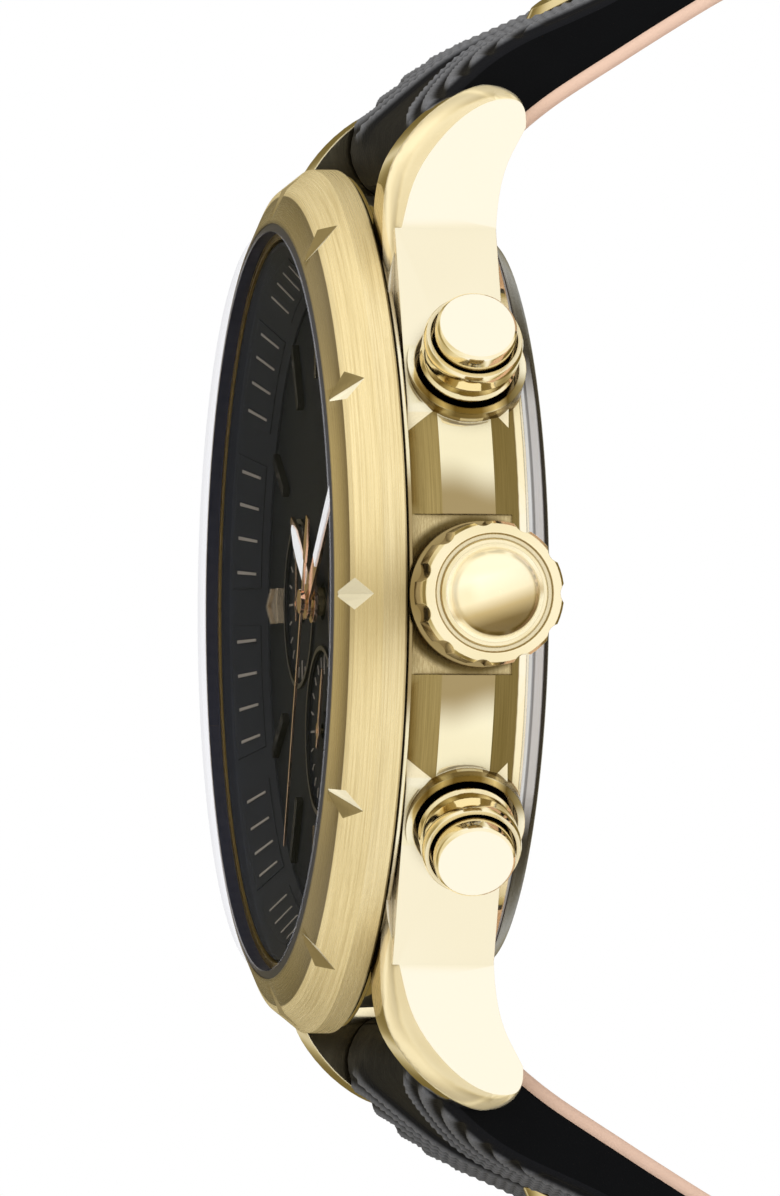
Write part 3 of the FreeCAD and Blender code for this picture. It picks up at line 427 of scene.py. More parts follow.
def bezel_gold():
    """Bezel: satin with lines round it, the notches polished, with painted shade and highlights."""
    net, shader = material("bezel_gold", metallic=0.42)
    x, y, z = net.split(net.position())
    radius = length_of(x, z)
    angle = z.arctan2(x)
    nx, ny, nz = net.normal("True Normal")
    cosine, sine = angle.cos(), angle.sin()
    notch = abs(nz * cosine - nx * sine).step(0.12, 0.2)
    line_place = net.ring_vector(radius, y, angle, across=9.0, around=2.0)
    lines = net.noise(line_place, scale=1.5, detail=6.0, rough=0.72)
    patch_place = net.ring_vector(radius, y, angle, across=2.5, around=1.2)
    patches = net.noise(patch_place, scale=1.0, detail=3.0)
    satin = 1.0 - notch
    satin_amount = satin * (lines.step(0.36, 0.70) * 0.42 + patches * 0.30)
    colour = net.mix(satin_amount, (0.93, 0.78, 0.44), (0.40, 0.28, 0.09))

    # Inner band in painted shade, darker toward 12 and 6 o'clock.
    inner = radius.step(20.68, 20.60) * satin
    inner_shade = ((radius - 19.3) * 0.77).ramp(BEZEL_BAND_SHADE)
    inner_shade = net.mix(abs(z).step(5.0, 15.0) * 0.65, inner_shade, (0.06, 0.036, 0.004))
    colour = net.mix(inner * 0.92, colour, inner_shade)

    # Notches: painted highlight beside the crown; elsewhere painted shadow on one side and painted
    # highlight on the other.
    colour = net.mix(notch * abs(z).step(2.2, 1.6), colour, (1.0, 0.93, 0.70))
    turned = (nz * cosine - nx * sine) * z.sign()
    shadow = notch * (turned.step(-0.05, -0.15) * (0.25 + abs(z).step(1.0, 5.0) * 0.6))
    colour = net.mix(shadow, colour, (0.15, 0.10, 0.02))
    lit = notch * turned.step(0.05, 0.15) * abs(z).step(1.5, 2.5)
    colour = net.mix(lit * 0.9, colour, (1.0, 0.94, 0.74))

    # A soft patch of painted shade about the 3-9 line, then painted shade in the crevices.
    middle = (1.0 - inner) * satin * (((z + 0.5) * 0.36) ** 2.0 * -1.0).exp()
    colour = net.mix(middle * 0.6, colour, (0.36, 0.265, 0.10))
    colour = net.mix(net.crevice(reach=0.8) * satin * 0.8, colour, (0.14, 0.09, 0.02))

    roughness = 0.07 + satin * (0.21 + (lines - 0.5) * 0.22)
    normal = net.bump(lines * satin, strength=0.55, depth=LINE_DEPTH,
                      normal=net.round_edge(radius=0.05))
    return finish(net, shader, colour, roughness, normal)


# ------------------------------------------------------------------ other materials
def plastic(name, base, rough, specular, grain, scale, vary=0.15):
    """Matt surface; grain is its bump strength, scale the size of its noise."""
    net, shader = material(name)
    position = net.position()
    cloud = net.noise(position, scale, detail=4.0, rough=0.6)
    colour = net.mix(cloud * (vary * 2), base, tuple(c * 0.6 for c in base))
    roughness = rough - 0.06 + cloud * 0.12
    fine = net.noise(position, scale * 2.2, detail=6.0, rough=0.65)
    normal = net.bump(fine, strength=grain, depth=0.03)
    return finish(net, shader, colour, roughness, normal, **{"Specular IOR Level": specular})


def leather(name, base, rough, specular, cells=2.2, strength=0.5, vary=0.3, cords=False):
    """Grained leather: small irregular cells with creases; cords paints a grey sheen on the raised
    work.
    """
    net, shader = material(name)
    position = net.position()
    wander = net.out(net.new("ShaderNodeTexNoise"), 1)
    wander = net.vector_calc("MULTIPLY", wander, (0.4, 0.4, 0.4))
    inputs = {"Vector": net.vector_calc("ADD", position, wander), "Scale": cells}
    voronoi = net.new("ShaderNodeTexVoronoi", inputs, feature="DISTANCE_TO_EDGE")
    cell = net.out(voronoi, "Distance").step(0.0, 0.16)
    cloud = net.noise(position, scale=0.9, detail=4.0)
    colour = net.mix(cloud * vary, base, tuple(c * 0.55 for c in base))
    if cords:
        # Painted sheen: the raised cords turn grey, standing for their glints.
        raised = net.out(net.new("ShaderNodeAttribute", attribute_name="raised"), "Fac")
        thread = net.noise(position, scale=7.0, detail=3.0, rough=0.6)
        colour = net.mix(raised.step(0.06, 0.36) * (0.45 + thread), colour, (0.15, 0.151, 0.157))
    roughness = rough + (cloud - 0.5) * 0.15
    height = cell * 0.6 + net.noise(position, scale=9.0, detail=4.0) * 0.5
    normal = net.bump(height, strength, depth=0.03)
    return finish(net, shader, colour, roughness, normal,
                  **{"Specular IOR Level": specular, "Specular Tint": (0.92, 0.97, 1.12)})


def crystal_clear():
    """Clear sapphire: see-through face, pale lavender edge."""
    net = Net(bpy.data.materials.new("crystal_clear"), "ShaderNodeOutputMaterial")
    nx, ny, nz = net.normal("True Normal")
    face = abs(ny).step(0.85, 0.95)
    clear = net.new("ShaderNodeBsdfTransparent", {"Color": (0.985, 0.985, 0.99)})
    shine = net.new("ShaderNodeBsdfGlossy", {"Roughness": 0.02, "Color": (0.6, 0.75, 1.0)})
    fresnel = net.out(net.new("ShaderNodeLayerWeight", {"Blend": 0.12}), "Fresnel")
    position = net.position()
    shine_amount = fresnel * 0.035 * (0.9 + net.noise(position, scale=0.2) * 0.2)
    top = net.blend(shine_amount, clear, shine)

    pale = net.new("ShaderNodeBsdfPrincipled",
                   {"Base Color": (0.80, 0.80, 0.86), "Roughness": 0.15})
    edge_clear = net.new("ShaderNodeBsdfTransparent", {"Color": (0.97, 0.97, 0.985)})
    x, y, z = net.split(position)
    proud = y.step(-2.34, -2.38)
    pale_amount = proud * (y.step(-2.46, -2.40) * 0.25 + x.step(4.0, -10.0) * 0.14)
    rim = net.blend(pale_amount, edge_clear, pale)
    net.show(net.blend(face, rim, top))
    return net.owner


LOOKS = {
    "gold": metal("gold_polished", GOLD, rough=0.07),
    "rose": metal("rose_gold", (0.93, 0.66, 0.50), rough=0.12, edge=0.02),
    "index": metal("index_pale_gold", (0.60, 0.48, 0.33), rough=0.2, edge=0.02, metallic=0.75,
                   mask=all_but_nine, mask_colour=(0.035, 0.033, 0.03)),
    "ring_dark": metal("subdial_ring_dark", (0.05, 0.05, 0.055), rough=0.35, edge=0.02),
    "steel": metal("steel_polished", (0.88, 0.89, 0.93), rough=0.12),
    "steel_back": metal("steel_case_back", (0.80, 0.81, 0.84), rough=0.2, grain="ring",
                        grain_strength=0.4, metallic=0.25, specular=0.3,
                        mask=back_shade, mask_colour=(0.02, 0.02, 0.025)),
    "move_steel": metal("movement_steel", (0.62, 0.63, 0.66), rough=0.22, grain="x",
                        grain_strength=0.3, edge=0.02),
    "brass": metal("movement_brass", (0.83, 0.66, 0.34), rough=0.2, grain="ring",
                   grain_strength=0.3, edge=0.02),
    "copper": metal("coil_copper", (0.80, 0.42, 0.26), rough=0.3, grain="y",
                    grain_strength=0.8, edge=0),
    "case": case_gold(),
    "crown": crown_gold(),
    # Pusher caps: painted highlight on their end faces.
    "cap": metal("gold_pusher", GOLD, rough=0.07, mask=pusher_end_highlight, mask_colour=(1.0, 0.92, 0.73)),
    "bezel": bezel_gold(),
    "leather": leather("leather_black", (0.008, 0.008, 0.009), rough=0.6, specular=0.05,
                       cords=True),
    "leather_side": leather("leather_edge_black", (0.003, 0.003, 0.003), rough=0.6,
                            specular=0.05, cells=5.0, strength=0.25),
    "lining": leather("lining_nude", (0.72, 0.50, 0.38), rough=0.65, specular=0.3, cells=4.5,
                      strength=0.3, vary=0.25),
    "dial_black": plastic("dial_black", (0.0095, 0.0105, 0.013), rough=0.5, specular=0.02,
                          grain=0.15, scale=6.0),
    "flange_black": plastic("flange_black", (0.015, 0.016, 0.019), rough=0.5, specular=0.04,
                            grain=0.02, scale=5.0),
    "rubber": plastic("rubber_black", (0.015, 0.015, 0.015), rough=0.7, specular=0.3,
                      grain=0.2, scale=4.0),
    "holder": plastic("holder_plastic", (0.62, 0.62, 0.60), rough=0.5, specular=0.4,
                      grain=0.2, scale=2.0),
    "board": plastic("board_green", (0.03, 0.16, 0.07), rough=0.4, specular=0.5,
                     grain=0.1, scale=3.0),
    "lume": plastic("lume_white", (0.86, 0.87, 0.88), rough=0.5, specular=0.4,
                    grain=0.2, scale=8.0, vary=0.05),
    "tick": plastic("tick_grey_gold", (0.17, 0.15, 0.125), rough=0.4, specular=0.3,
                    grain=0.1, scale=6.0),
    "crystal": crystal_clear(),
    "gasket": plastic("gasket_smoke", (0.022, 0.022, 0.030), rough=0.4, specular=0.2,
                      grain=0.1, scale=4.0),
}

# ------------------------------------------------------------------ CAD pieces
# Look, and the CAD pieces that wear it.
WEARERS = {
    "case": "case_middle",
    "bezel": "bezel",
    "crystal": "crystal",
    "gasket": "crystal_gasket",
    "steel_back": "case_back",
    "rubber": "case_back_gasket stem_gasket",
    "flange_black": "flange_ring",
    "dial_black": "dial",
    "ring_dark": "subdial_rings",
    "index": "hour_indices",
    "rose": "hour_hand minute_hand chrono_seconds_hand small_seconds_hand chrono_minute_hand "
            "hour24_hand",
    "brass": "hour_wheel cannon_pinion minute_wheel hour24_wheel third_wheel fourth_wheel "
             "intermediate_wheel chrono_seconds_wheel chrono_minute_wheel main_plate",
    "move_steel": "rotor train_bridge bridge_screws stator battery_clamp winding_stem "
                  "sliding_pinion pusher_spring_upper pusher_spring_lower",
    "copper": "coil",
    "steel": "battery crown_tube spring_bar_12 spring_bar_6",
    "board": "circuit_board",
    "holder": "movement_ring",
    "crown": "crown",
    "cap": "pusher_upper pusher_lower",
    "gold": "pusher_tube_upper pusher_tube_lower strap_stud_12 strap_stud_6 buckle_frame "
            "buckle_bar buckle_tongue",
}
HARD_EDGE = 24      # degrees; sharper edges stay hard


def soft_shading():
    """Node group that smooths faces and marks edges over HARD_EDGE as hard."""
    tree = bpy.data.node_groups.new("soft_%d" % HARD_EDGE, "GeometryNodeTree")
    for direction in ("INPUT", "OUTPUT"):
        tree.interface.new_socket("Geometry", in_out=direction,
                                  socket_type="NodeSocketGeometry")
    new, link = tree.nodes.new, tree.links.new
    group_in, group_out = new("NodeGroupInput"), new("NodeGroupOutput")
    angle = new("GeometryNodeInputMeshEdgeAngle")
    compare = new("FunctionNodeCompare")
    compare.operation = "LESS_EQUAL"
    compare.inputs[1].default_value = math.radians(HARD_EDGE)
    link(angle.outputs["Unsigned Angle"], compare.inputs[0])
    faces, edges = new("GeometryNodeSetShadeSmooth"), new("GeometryNodeSetShadeSmooth")
    faces.domain = "FACE"
    edges.domain = "EDGE"
    link(group_in.outputs[0], faces.inputs["Geometry"])
    link(faces.outputs[0], edges.inputs["Geometry"])
    link(compare.outputs[0], edges.inputs["Shade Smooth"])
    link(edges.outputs[0], group_out.inputs[0])
    return tree


def dress(piece, look, soft_tree):
    """Gives a CAD piece its material and clean shading."""
    piece.data.materials.clear()
    piece.data.materials.append(look)
    piece.modifiers.new("weld", "WELD").merge_threshold = 2e-7      # metres
    piece.data.polygons.foreach_set("use_smooth", [True] * len(piece.data.polygons))
    piece.modifiers.new("soft", "NODES").node_group = soft_tree
    weighted = piece.modifiers.new("weighted", "WEIGHTED_NORMAL")
    weighted.mode = "FACE_AREA_WITH_ANGLE"
    weighted.weight = 60
    weighted.keep_sharp = True


SOFT = soft_shading()
for look, pieces in WEARERS.items():
    for piece in pieces.split():
        dress(NODES[piece], LOOKS[look], SOFT)


# ------------------------------------------------------------------ mesh helpers
def mesh_object(name, verts, faces, looks, smooth=True):
    """Object from points in metres; looks are keys of LOOKS, or one material."""
    mesh = bpy.data.meshes.new(name)
    mesh.from_pydata([tuple(v) for v in verts], [], faces)
    mesh.validate()
    mesh.update()
    bm = bmesh.new()
    bm.from_mesh(mesh)
    bmesh.ops.recalc_face_normals(bm, faces=bm.faces)
    bm.to_mesh(mesh)
    bm.free()
    if smooth:
        mesh.polygons.foreach_set("use_smooth", [True] * len(mesh.polygons))
    piece = bpy.data.objects.new(name, mesh)
    scene.collection.objects.link(piece)
    for look in looks if isinstance(looks, tuple) else (looks,):
        mesh.materials.append(LOOKS[look] if isinstance(look, str) else look)
    return piece


def loft(rings, closed=False):
    """Skins an array of rings (count, points, 3): capped, or joined end to start if closed."""
    count, size = rings.shape[:2]
    faces = []
    for i in range(count if closed else count - 1):
        a, b = i * size, (i + 1) % count * size
        for j in range(size):
            k = (j + 1) % size
            faces.append((a + j, a + k, b + k, b + j))
    if not closed:
        faces.append(tuple(range(size))[::-1])
        faces.append(tuple(range((count - 1) * size, count * size)))
    return rings.reshape(-1, 3), faces


def hand_over(piece, body, node=None):
    """Tells the frame what a piece moves with and what it replaces."""
    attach(piece, body)
    if node:
        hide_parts(node)


def centre(node):
    """Middle of a CAD piece's box."""
    low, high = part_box(node)
    return (low + high) / 2 / MM


# ------------------------------------------------------------------ strap path
# Each half is keyed by the sign of its Z. "run" is the distance along it from its spring bar.
TWELVE, SIX = 1, -1
BAR = {TWELVE: centre("spring_bar_12"), SIX: centre("spring_bar_6")}
HALF = {TWELVE: (72.0, 30.0), SIX: (110.0, 40.0)}       # length, bend radius
PATH_STEPS = 2400
BAR_ANGLE, KNEE_ANGLE, BEND_ANGLE = 48, 33, 30.5        # path's tilt from +Y, degrees
KNEE_RUN, BEND_RUN = 6, 14                              # where the last two tilts are reached
THICK_NEAR, THICK_FAR = 3.3, 2.3
WIDE_NEAR, WIDE_FAR = 21.8, 19.8
ACROSS = np.array([1.0, 0, 0])


def path(side):
    """Points along one half: y, |z| and tilt in radians."""
    length, bend = HALF[side]
    step = length / PATH_STEPS
    y, height = BAR[side].y, abs(BAR[side].z)
    points = []
    for i in range(PATH_STEPS + 1):
        run = i * step
        if run < KNEE_RUN:
            tilt = BAR_ANGLE - (BAR_ANGLE - KNEE_ANGLE) * run / KNEE_RUN
        elif run < BEND_RUN:
            tilt = KNEE_ANGLE - (KNEE_ANGLE - BEND_ANGLE) * (run - KNEE_RUN) / (BEND_RUN - KNEE_RUN)
        else:
            tilt = BEND_ANGLE - math.degrees((run - BEND_RUN) / bend)
        tilt = math.radians(tilt)
        points.append((y, height, tilt))
        y += step * math.cos(tilt)
        height += step * math.sin(tilt)
    return np.array(points)


PATH = {side: path(side) for side in HALF}


def station(side, run):
    """Point, tangent and outward direction at a run; straight beyond both ends."""
    length = HALF[side][0]
    points = PATH[side]
    place = min(max(run / length, 0.0), 1.0) * (len(points) - 1)
    i = min(int(place), len(points) - 2)
    y, height, tilt = points[i] + (points[i + 1] - points[i]) * (place - i)
    tangent = np.array([0, math.cos(tilt), math.sin(tilt)])
    outward = np.array([0, -math.sin(tilt), math.cos(tilt)])
    beyond = run if run < 0 else max(run - length, 0.0)
    point = np.array([0, y, height]) + tangent * beyond
    flip = np.array([1, 1, side])
    return point * flip, tangent * flip, outward * flip


def thickness(run):
    """Full near the case, thinning evenly over runs 9 to 42."""
    if run < 9:
        return THICK_NEAR
    if run > 42:
        return THICK_FAR
    return THICK_NEAR + (THICK_FAR - THICK_NEAR) * (run - 9) / 33


def width(run, length):
    return WIDE_NEAR + (WIDE_FAR - WIDE_NEAR) * min(1.0, max(0.0, run) / (length * 0.85))


def ease(start, end, value):
    """Smooth 0..1 as value goes from start to end."""
    q = np.clip((value - start) / (end - start), 0, 1)
    return q * q * (3 - 2 * q)


# ------------------------------------------------------------------ strap bodies
LINING = 0.7                    # thickness of the lining
SWELL = 0.85                    # extra height over the spring bar
ROOT = 1.95                     # reach of the rounded root before the spring bar
TAIL = 9                        # length of the rounded tip of the long half
BODY_END = 2.6                  # the short half's full-width body stops this far before its end
LOBE_RADIUS = 1.5               # rounded ends of the two lobes beyond that body
LOBE_GAP = 1.7                  # half the gap between the lobes
TAIL_RUNS = TAIL * (1 - np.sin(np.linspace(0, math.pi / 2, 40)))    # back from the tip
CORNERS = (18, 38, 60, 80)      # degrees round an upper corner

CORD_CENTRE, CORD_START = 10.5, 7.4     # centre of the cords' arcs: from mid-strap, and run
CORD_RADII = (1.2, 2.7, 4.2, 5.7, 7.2, 8.7)
CORD_HALF_WIDTH, RIB_PITCH = 0.78, 0.52
PADS = ((5.9, 1.9, 0.26), (2.0, 1.9, 0.2))      # place from mid-strap, half width, height


def relief(x, run, half, far_end):
    """Height over the flat outer face: curved cords near the case, long pads beyond them."""
    off = np.abs(x)
    side_gap, run_gap = CORD_CENTRE - off, CORD_START - run
    near = run < CORD_START
    radius = np.where(near, np.sqrt(side_gap ** 2 + np.maximum(run_gap, 0) ** 2), side_gap)
    arc = np.where(near, radius * np.arctan2(np.maximum(run_gap, 0), side_gap),
                   -(run - CORD_START))
    cords = np.zeros_like(off)
    for k, cord_radius in enumerate(CORD_RADII):
        away = radius - cord_radius
        round_top = np.cos(np.clip(np.abs(away) / CORD_HALF_WIDTH, 0, 1) * math.pi / 2) ** 1.3
        turn = 2 * math.pi * arc / RIB_PITCH + (k % 2) * math.pi + away * 2.4
        rib = 0.5 + 0.5 * np.cos(turn)
        cords = np.maximum(cords, round_top * (0.33 + 0.09 * rib))
    show = ease(-1.5, -0.4, run) * (1 - ease(17, 25, run)) * ease(0.0, 0.5, half - off - 0.1)
    pads = np.zeros_like(off)
    for place, pad_half, height in PADS:
        q = np.clip(np.abs(off - place) / pad_half, 0, 1)
        pads = np.maximum(pads, height * np.cos(q * math.pi / 2) ** 0.8)
    edge_groove = -0.16 * np.exp(-((off - (half - 1.55)) / 0.22) ** 2)
    far = ease(12, 20, run) * (1 - ease(far_end - 6, far_end, run))
    return cords * show + (pads + edge_groove) * far - 0.06


def half_width(run, length, tail):
    """Half the strap's width; a tail narrows to a rounded tip."""
    half = width(min(max(run, 0), length), length) / 2
    if tail and run > length - TAIL:
        q = (run - (length - TAIL)) / TAIL
        half = max(0.25, half * math.sqrt(max(0.0, 1 - q ** 2.3)))
    return half


def spread(count):
    """Places across the top, -1..1, set by a mild power law."""
    u = np.linspace(-1, 1, count)
    return np.sign(u) * (1 - (1 - np.abs(u)) ** 1.12)


def tidy(runs):
    return sorted(set(round(float(run), 5) for run in runs))


def lay(points, side, run):
    """Places (across, outward) points on the section at a run."""
    point, _, outward = station(side, run)
    points = np.array(points)
    return point + np.outer(points[:, 0], ACROSS) + np.outer(points[:, 1], outward)


def section(spots, half, high, low, lift, middle=0.0):
    """Closed outline of an upper; lift gives the top's extra height at each x."""
    corner = min(0.45, (high - low) * 0.3, half * 0.4)
    x = spots * (half - corner)
    top = np.full(len(x), high) + lift(x) - 0.10 * np.abs(spots) ** 5
    edge = high - 0.10
    turns = [math.radians(angle) for angle in CORNERS]
    right = [(half - corner + corner * math.sin(t), edge - corner + corner * math.cos(t))
             for t in turns]
    right += [(half, v) for v in np.linspace(edge - corner, low + 0.12, 5)]
    right.append((half - 0.1, low))
    points = list(zip(x, top)) + right
    points += [(v, low) for v in np.linspace(half * 0.8, -half * 0.8, 7)]
    points += [(-a, b) for a, b in right[::-1]]
    return [(a + middle, b) for a, b in points]


def upper_object(name, rings, heights):
    """Upper mesh with dark sides; heights are the relief at each top point of each ring."""
    rings = np.array(rings)
    count, size = rings.shape[:2]
    top_points = heights.shape[1]
    upper = mesh_object("strap_upper_" + name, *loft(rings * MM), ("leather", "leather_side"))
    raised = np.zeros((count, size), np.float32)
    raised[:, :top_points] = heights
    attribute = upper.data.attributes.new("raised", "FLOAT", "POINT")
    attribute.data.foreach_set("value", raised.ravel())
    sides = np.zeros((count - 1, size), np.int32)
    sides[:, top_points + 3:-4] = 1
    slots = np.zeros(len(upper.data.polygons), np.int32)
    slots[:sides.size] = sides.ravel()
    upper.data.polygons.foreach_set("material_index", slots)
    return upper


def strap_upper(name, side, tail):
    """Outer leather of one half, from its rounded root."""
    length = HALF[side][0]
    runs = [-ROOT * math.cos(math.radians(a)) for a in (3, 12, 24, 38, 52, 68, 80)]
    runs += list(np.arange(0.0, 28.0, 0.13))
    runs += list(np.arange(28.0, length - (TAIL if tail else BODY_END), 0.55))
    runs += list(length - TAIL_RUNS)[1:] if tail else [length - BODY_END]
    runs = tidy(runs)
    spots = spread(150)
    far_end = length - (11 if tail else 5)
    rings, heights = [], []
    for run in runs:
        inside = max(run, 0)
        thick, half = thickness(inside), half_width(run, length, tail)
        room = LINING * ease(2.2, 2.6, inside)
        if not tail and run > length - 3.2:
            room = LINING * (1 - ease(length - 3.2, length - 2.8, run))
        shrink = math.sqrt(max(1e-4, 1 - (run / ROOT) ** 2)) if run < 0 else 1.0
        swell = SWELL * (1 - ease(3.0, 11.0, inside))
        high = thick / 2 * shrink + swell * shrink
        low = (-thick / 2 + room) * shrink
        along = np.full(len(spots), run)

        def lift(x):
            if run < -1.5:
                return 0.0
            return relief(x, along, half, far_end) * min(1, (high - low) / 2)

        rings.append(lay(section(spots, half, high, low, lift), side, run))
        full = half_width(run, length, tail=False)
        heights.append(relief(spots * (full - 0.45), along, full, far_end))
    return upper_object(name, rings, np.array(heights))


def strap_lobe(name, lobe_side):
    """One of the two lobes at the end of the short half; lobe_side is the sign of its X."""
    length = HALF[TWELVE][0]
    runs = list(np.linspace(length - BODY_END, length, 9))
    runs += [length + LOBE_RADIUS * math.sin(math.radians(a)) for a in (15, 30, 45, 60, 75, 87)]
    spots = spread(40)
    rings = []
    for run in tidy(runs):
        full = half_width(run, length, tail=False)
        high = thickness(min(run, length)) / 2
        high += (LOBE_RADIUS - high) * ease(length - 2.0, length - 0.4, run)
        if run > length:
            high = LOBE_RADIUS * math.sqrt(max(1e-4, 1 - ((run - length) / LOBE_RADIUS) ** 2))
        points = section(spots, (full - LOBE_GAP) / 2, high, -high, lambda x: -0.06 * min(1, high),
                         middle=lobe_side * (full + LOBE_GAP) / 2)
        rings.append(lay(points, TWELVE, run))
    return upper_object(name, rings, np.zeros((len(rings), len(spots))))


def strap_lining(name, side, tail):
    """Thin lining on the wrist side of one half."""
    length = HALF[side][0]
    runs = list(np.arange(2.5, length - (TAIL if tail else 3.0), 0.6))
    runs += list(length - TAIL_RUNS)[:-1] + [length - 0.02] if tail else [length - 3.0]
    rings = []
    for run in runs:
        half = half_width(run, length, tail)
        r = min(0.22, half * 0.3)
        half -= 0.04
        low = -thickness(run) / 2
        high = low + LINING - 0.003
        right = [(half, high), (half, low + r), (half - r * 0.3, low + r * 0.3), (half - r, low)]
        points = right + [(v, low) for v in np.linspace(half * 0.75, -half * 0.75, 9)]
        points += [(-a, b) for a, b in right[::-1]]
        points += [(v, high) for v in np.linspace(-half * 0.75, half * 0.75, 5)]
        rings.append(lay(points, side, run))
    return mesh_object("strap_lining_leather_" + name, *loft(np.array(rings) * MM), "lining")


HOLES, HOLE_PITCH, LAST_HOLE = 7, 6.5, 16       # count, pitch, distance from the tip
HOLE_RADIUS, HOLE_SIDES, CUT_REACH = 1.0, 28, 4


def hole_cutter(side):
    """Cylinders through the long half at its buckle holes."""
    length = HALF[side][0]
    verts, faces = [], []
    for k in range(HOLES):
        point, _, outward = station(side, length - LAST_HOLE - HOLE_PITCH * k)
        other = np.cross(outward, ACROSS)
        turns = [2 * math.pi * i / HOLE_SIDES for i in range(HOLE_SIDES)]
        circle = [ACROSS * math.cos(t) * HOLE_RADIUS + other * math.sin(t) * HOLE_RADIUS
                  for t in turns]
        ends = [[point + outward * reach + q for q in circle] for reach in (-CUT_REACH, CUT_REACH)]
        more_verts, more_faces = loft(np.array(ends) * MM)
        first = len(verts)
        verts += list(more_verts)
        faces += [tuple(i + first for i in face) for face in more_faces]
    return mesh_object("cutter", verts, faces, "leather", smooth=False)


def cut_holes(piece, side):
    cutter = hole_cutter(side)
    cut = piece.modifiers.new("cut", "BOOLEAN")
    cut.operation = "DIFFERENCE"
    cut.solver = "EXACT"
    cut.object = cutter
    graph = bpy.context.evaluated_depsgraph_get()
    mesh = bpy.data.meshes.new_from_object(piece.evaluated_get(graph))
    piece.modifiers.clear()
    piece.data = mesh
    bpy.data.objects.remove(cutter)


for name, side, tail, body in (("12", TWELVE, False, "strap_short"),
                               ("6", SIX, True, "strap_long")):
    upper, lining = strap_upper(name, side, tail), strap_lining(name, side, tail)
    if tail:
        cut_holes(upper, side)
        cut_holes(lining, side)
    else:
        for tag, lobe_side in (("a", -1), ("b", 1)):
            lobe = strap_lobe("end_" + tag, lobe_side)
            hand_over(lobe, body, "strap_" + name)
    hand_over(upper, body, "strap_" + name)
    hand_over(lining, body, "strap_lining_" + name)

# ------------------------------------------------------------------ keepers
KEEPER_THICK = 0.98
KEEPER_CORNER = 0.8
# Half of a keeper's profile: inset from its edge, height over its inner face.
KEEPER_PROFILE = [
    (1.4, KEEPER_THICK + 0.01), (0.86, KEEPER_THICK), (0.74, KEEPER_THICK - 0.1),
    (0.62, KEEPER_THICK), (0.3, KEEPER_THICK - 0.02), (0.1, KEEPER_THICK - 0.1),
    (0.0, KEEPER_THICK - 0.3), (0.0, 0.25), (0.06, 0.06), (0.25, 0.0)]


def keeper_loop(right, low, high):
    """Inner outline of a keeper: rows of across, outward and the direction off it."""
    r = KEEPER_CORNER
    loop = []
    for x, z, start in ((right - r, high - r, 0), (-right + r, high - r, 90),
                        (-right + r, low + r, 180), (right - r, low + r, 270)):
        for turn in np.radians(np.linspace(start, start + 90, 7)):
            c, s = math.cos(turn), math.sin(turn)
            loop.append(np.array((x + r * c, z + r * s, c, s)))
    fine = []
    for a, b in zip(loop, loop[1:] + loop[:1]):
        count = max(1, int(math.hypot(*(b - a)[:2]) / 0.35))
        for k in range(count):
            row = a + (b - a) * k / count
            row[2:] /= math.hypot(row[2], row[3])
            fine.append(row)
    return fine


def keeper(node, run, along, room, body):
    """Leather loop round the short half; room is its clearance."""
    length, bend = HALF[TWELVE]
    thick = thickness(run)
    bulge = along * along / 8 / bend        # rise of the bent strap within the keeper
    loop = keeper_loop(width(run - 4, length) / 2 + room,
                       -thick / 2 - room - 0.02 - bulge, thick / 2 + 2.3)
    half = [(along / 2 - inset, height) for inset, height in KEEPER_PROFILE]
    profile = [(-a, b) for a, b in half[::-1]] + [(0.0, KEEPER_THICK + 0.02)] + half
    point, tangent, outward = station(TWELVE, run)
    rings = [[point + tangent * shift + ACROSS * (x + dx * off) + outward * (z + dz * off)
              for shift, off in profile] for x, z, dx, dz in loop]
    piece = mesh_object(node + "_leather", *loft(np.array(rings) * MM, closed=True), "leather")
    hand_over(piece, body, node)


keeper("fixed_keeper", run=62.0, along=5.0, room=0.06, body="strap_short")
keeper("free_keeper", run=51.0, along=6.0, room=0.5, body="free_keeper")


# ------------------------------------------------------------------ dial furniture
def drawing(x, y, z):
    """Drawing place (x to 3, y to 12, z to the viewer) to metres in the frame."""
    return (x * MM, -(z + ZERO_PLANE) * MM, y * MM)


def front_of(node):
    """Drawing height of a CAD piece's front."""
    return -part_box(node)[0].y / MM - ZERO_PLANE


class Plates:
    """Collects many small plates in one mesh."""

    def __init__(self):
        self.verts, self.faces = [], []

    def walls(self, levels):
        """Adds levels of points with faces between them; returns the first index."""
        first, size = len(self.verts), len(levels[0])
        for level in levels:
            self.verts += level
        for k in range(len(levels) - 1):
            a, b = first + k * size, first + (k + 1) * size
            for i in range(size):
                j = (i + 1) % size
                self.faces.append((a + i, a + j, b + j, b + i))
        return first

    def plate(self, outline, low, high, bevel, place=drawing):
        """Flat plate with a bevelled top edge."""
        outline = np.array(outline, float)
        middle = outline.mean(0)
        out = outline - middle
        inner = middle + out * (1 - bevel / np.linalg.norm(out, axis=1, keepdims=True))
        levels = ((outline, low), (outline, high - bevel), (inner, high))
        first = self.walls([[place(a, b, z) for a, b in points] for points, z in levels])
        size = len(outline)
        self.faces.append(tuple(range(first, first + size))[::-1])
        self.faces.append(tuple(range(first + 2 * size, first + 3 * size)))

    def object(self, name, look):
        return mesh_object(name, self.verts, self.faces, look, smooth=False)


DIAL_Z = front_of("dial")
# Flange slope: radius and height of its two ends.
SLOPE_IN, SLOPE_OUT = (15.8, 0.12 + DIAL_Z), (18.1, 2.15 + DIAL_Z)
SLOPE = math.atan2(SLOPE_OUT[1] - SLOPE_IN[1], SLOPE_OUT[0] - SLOPE_IN[0])


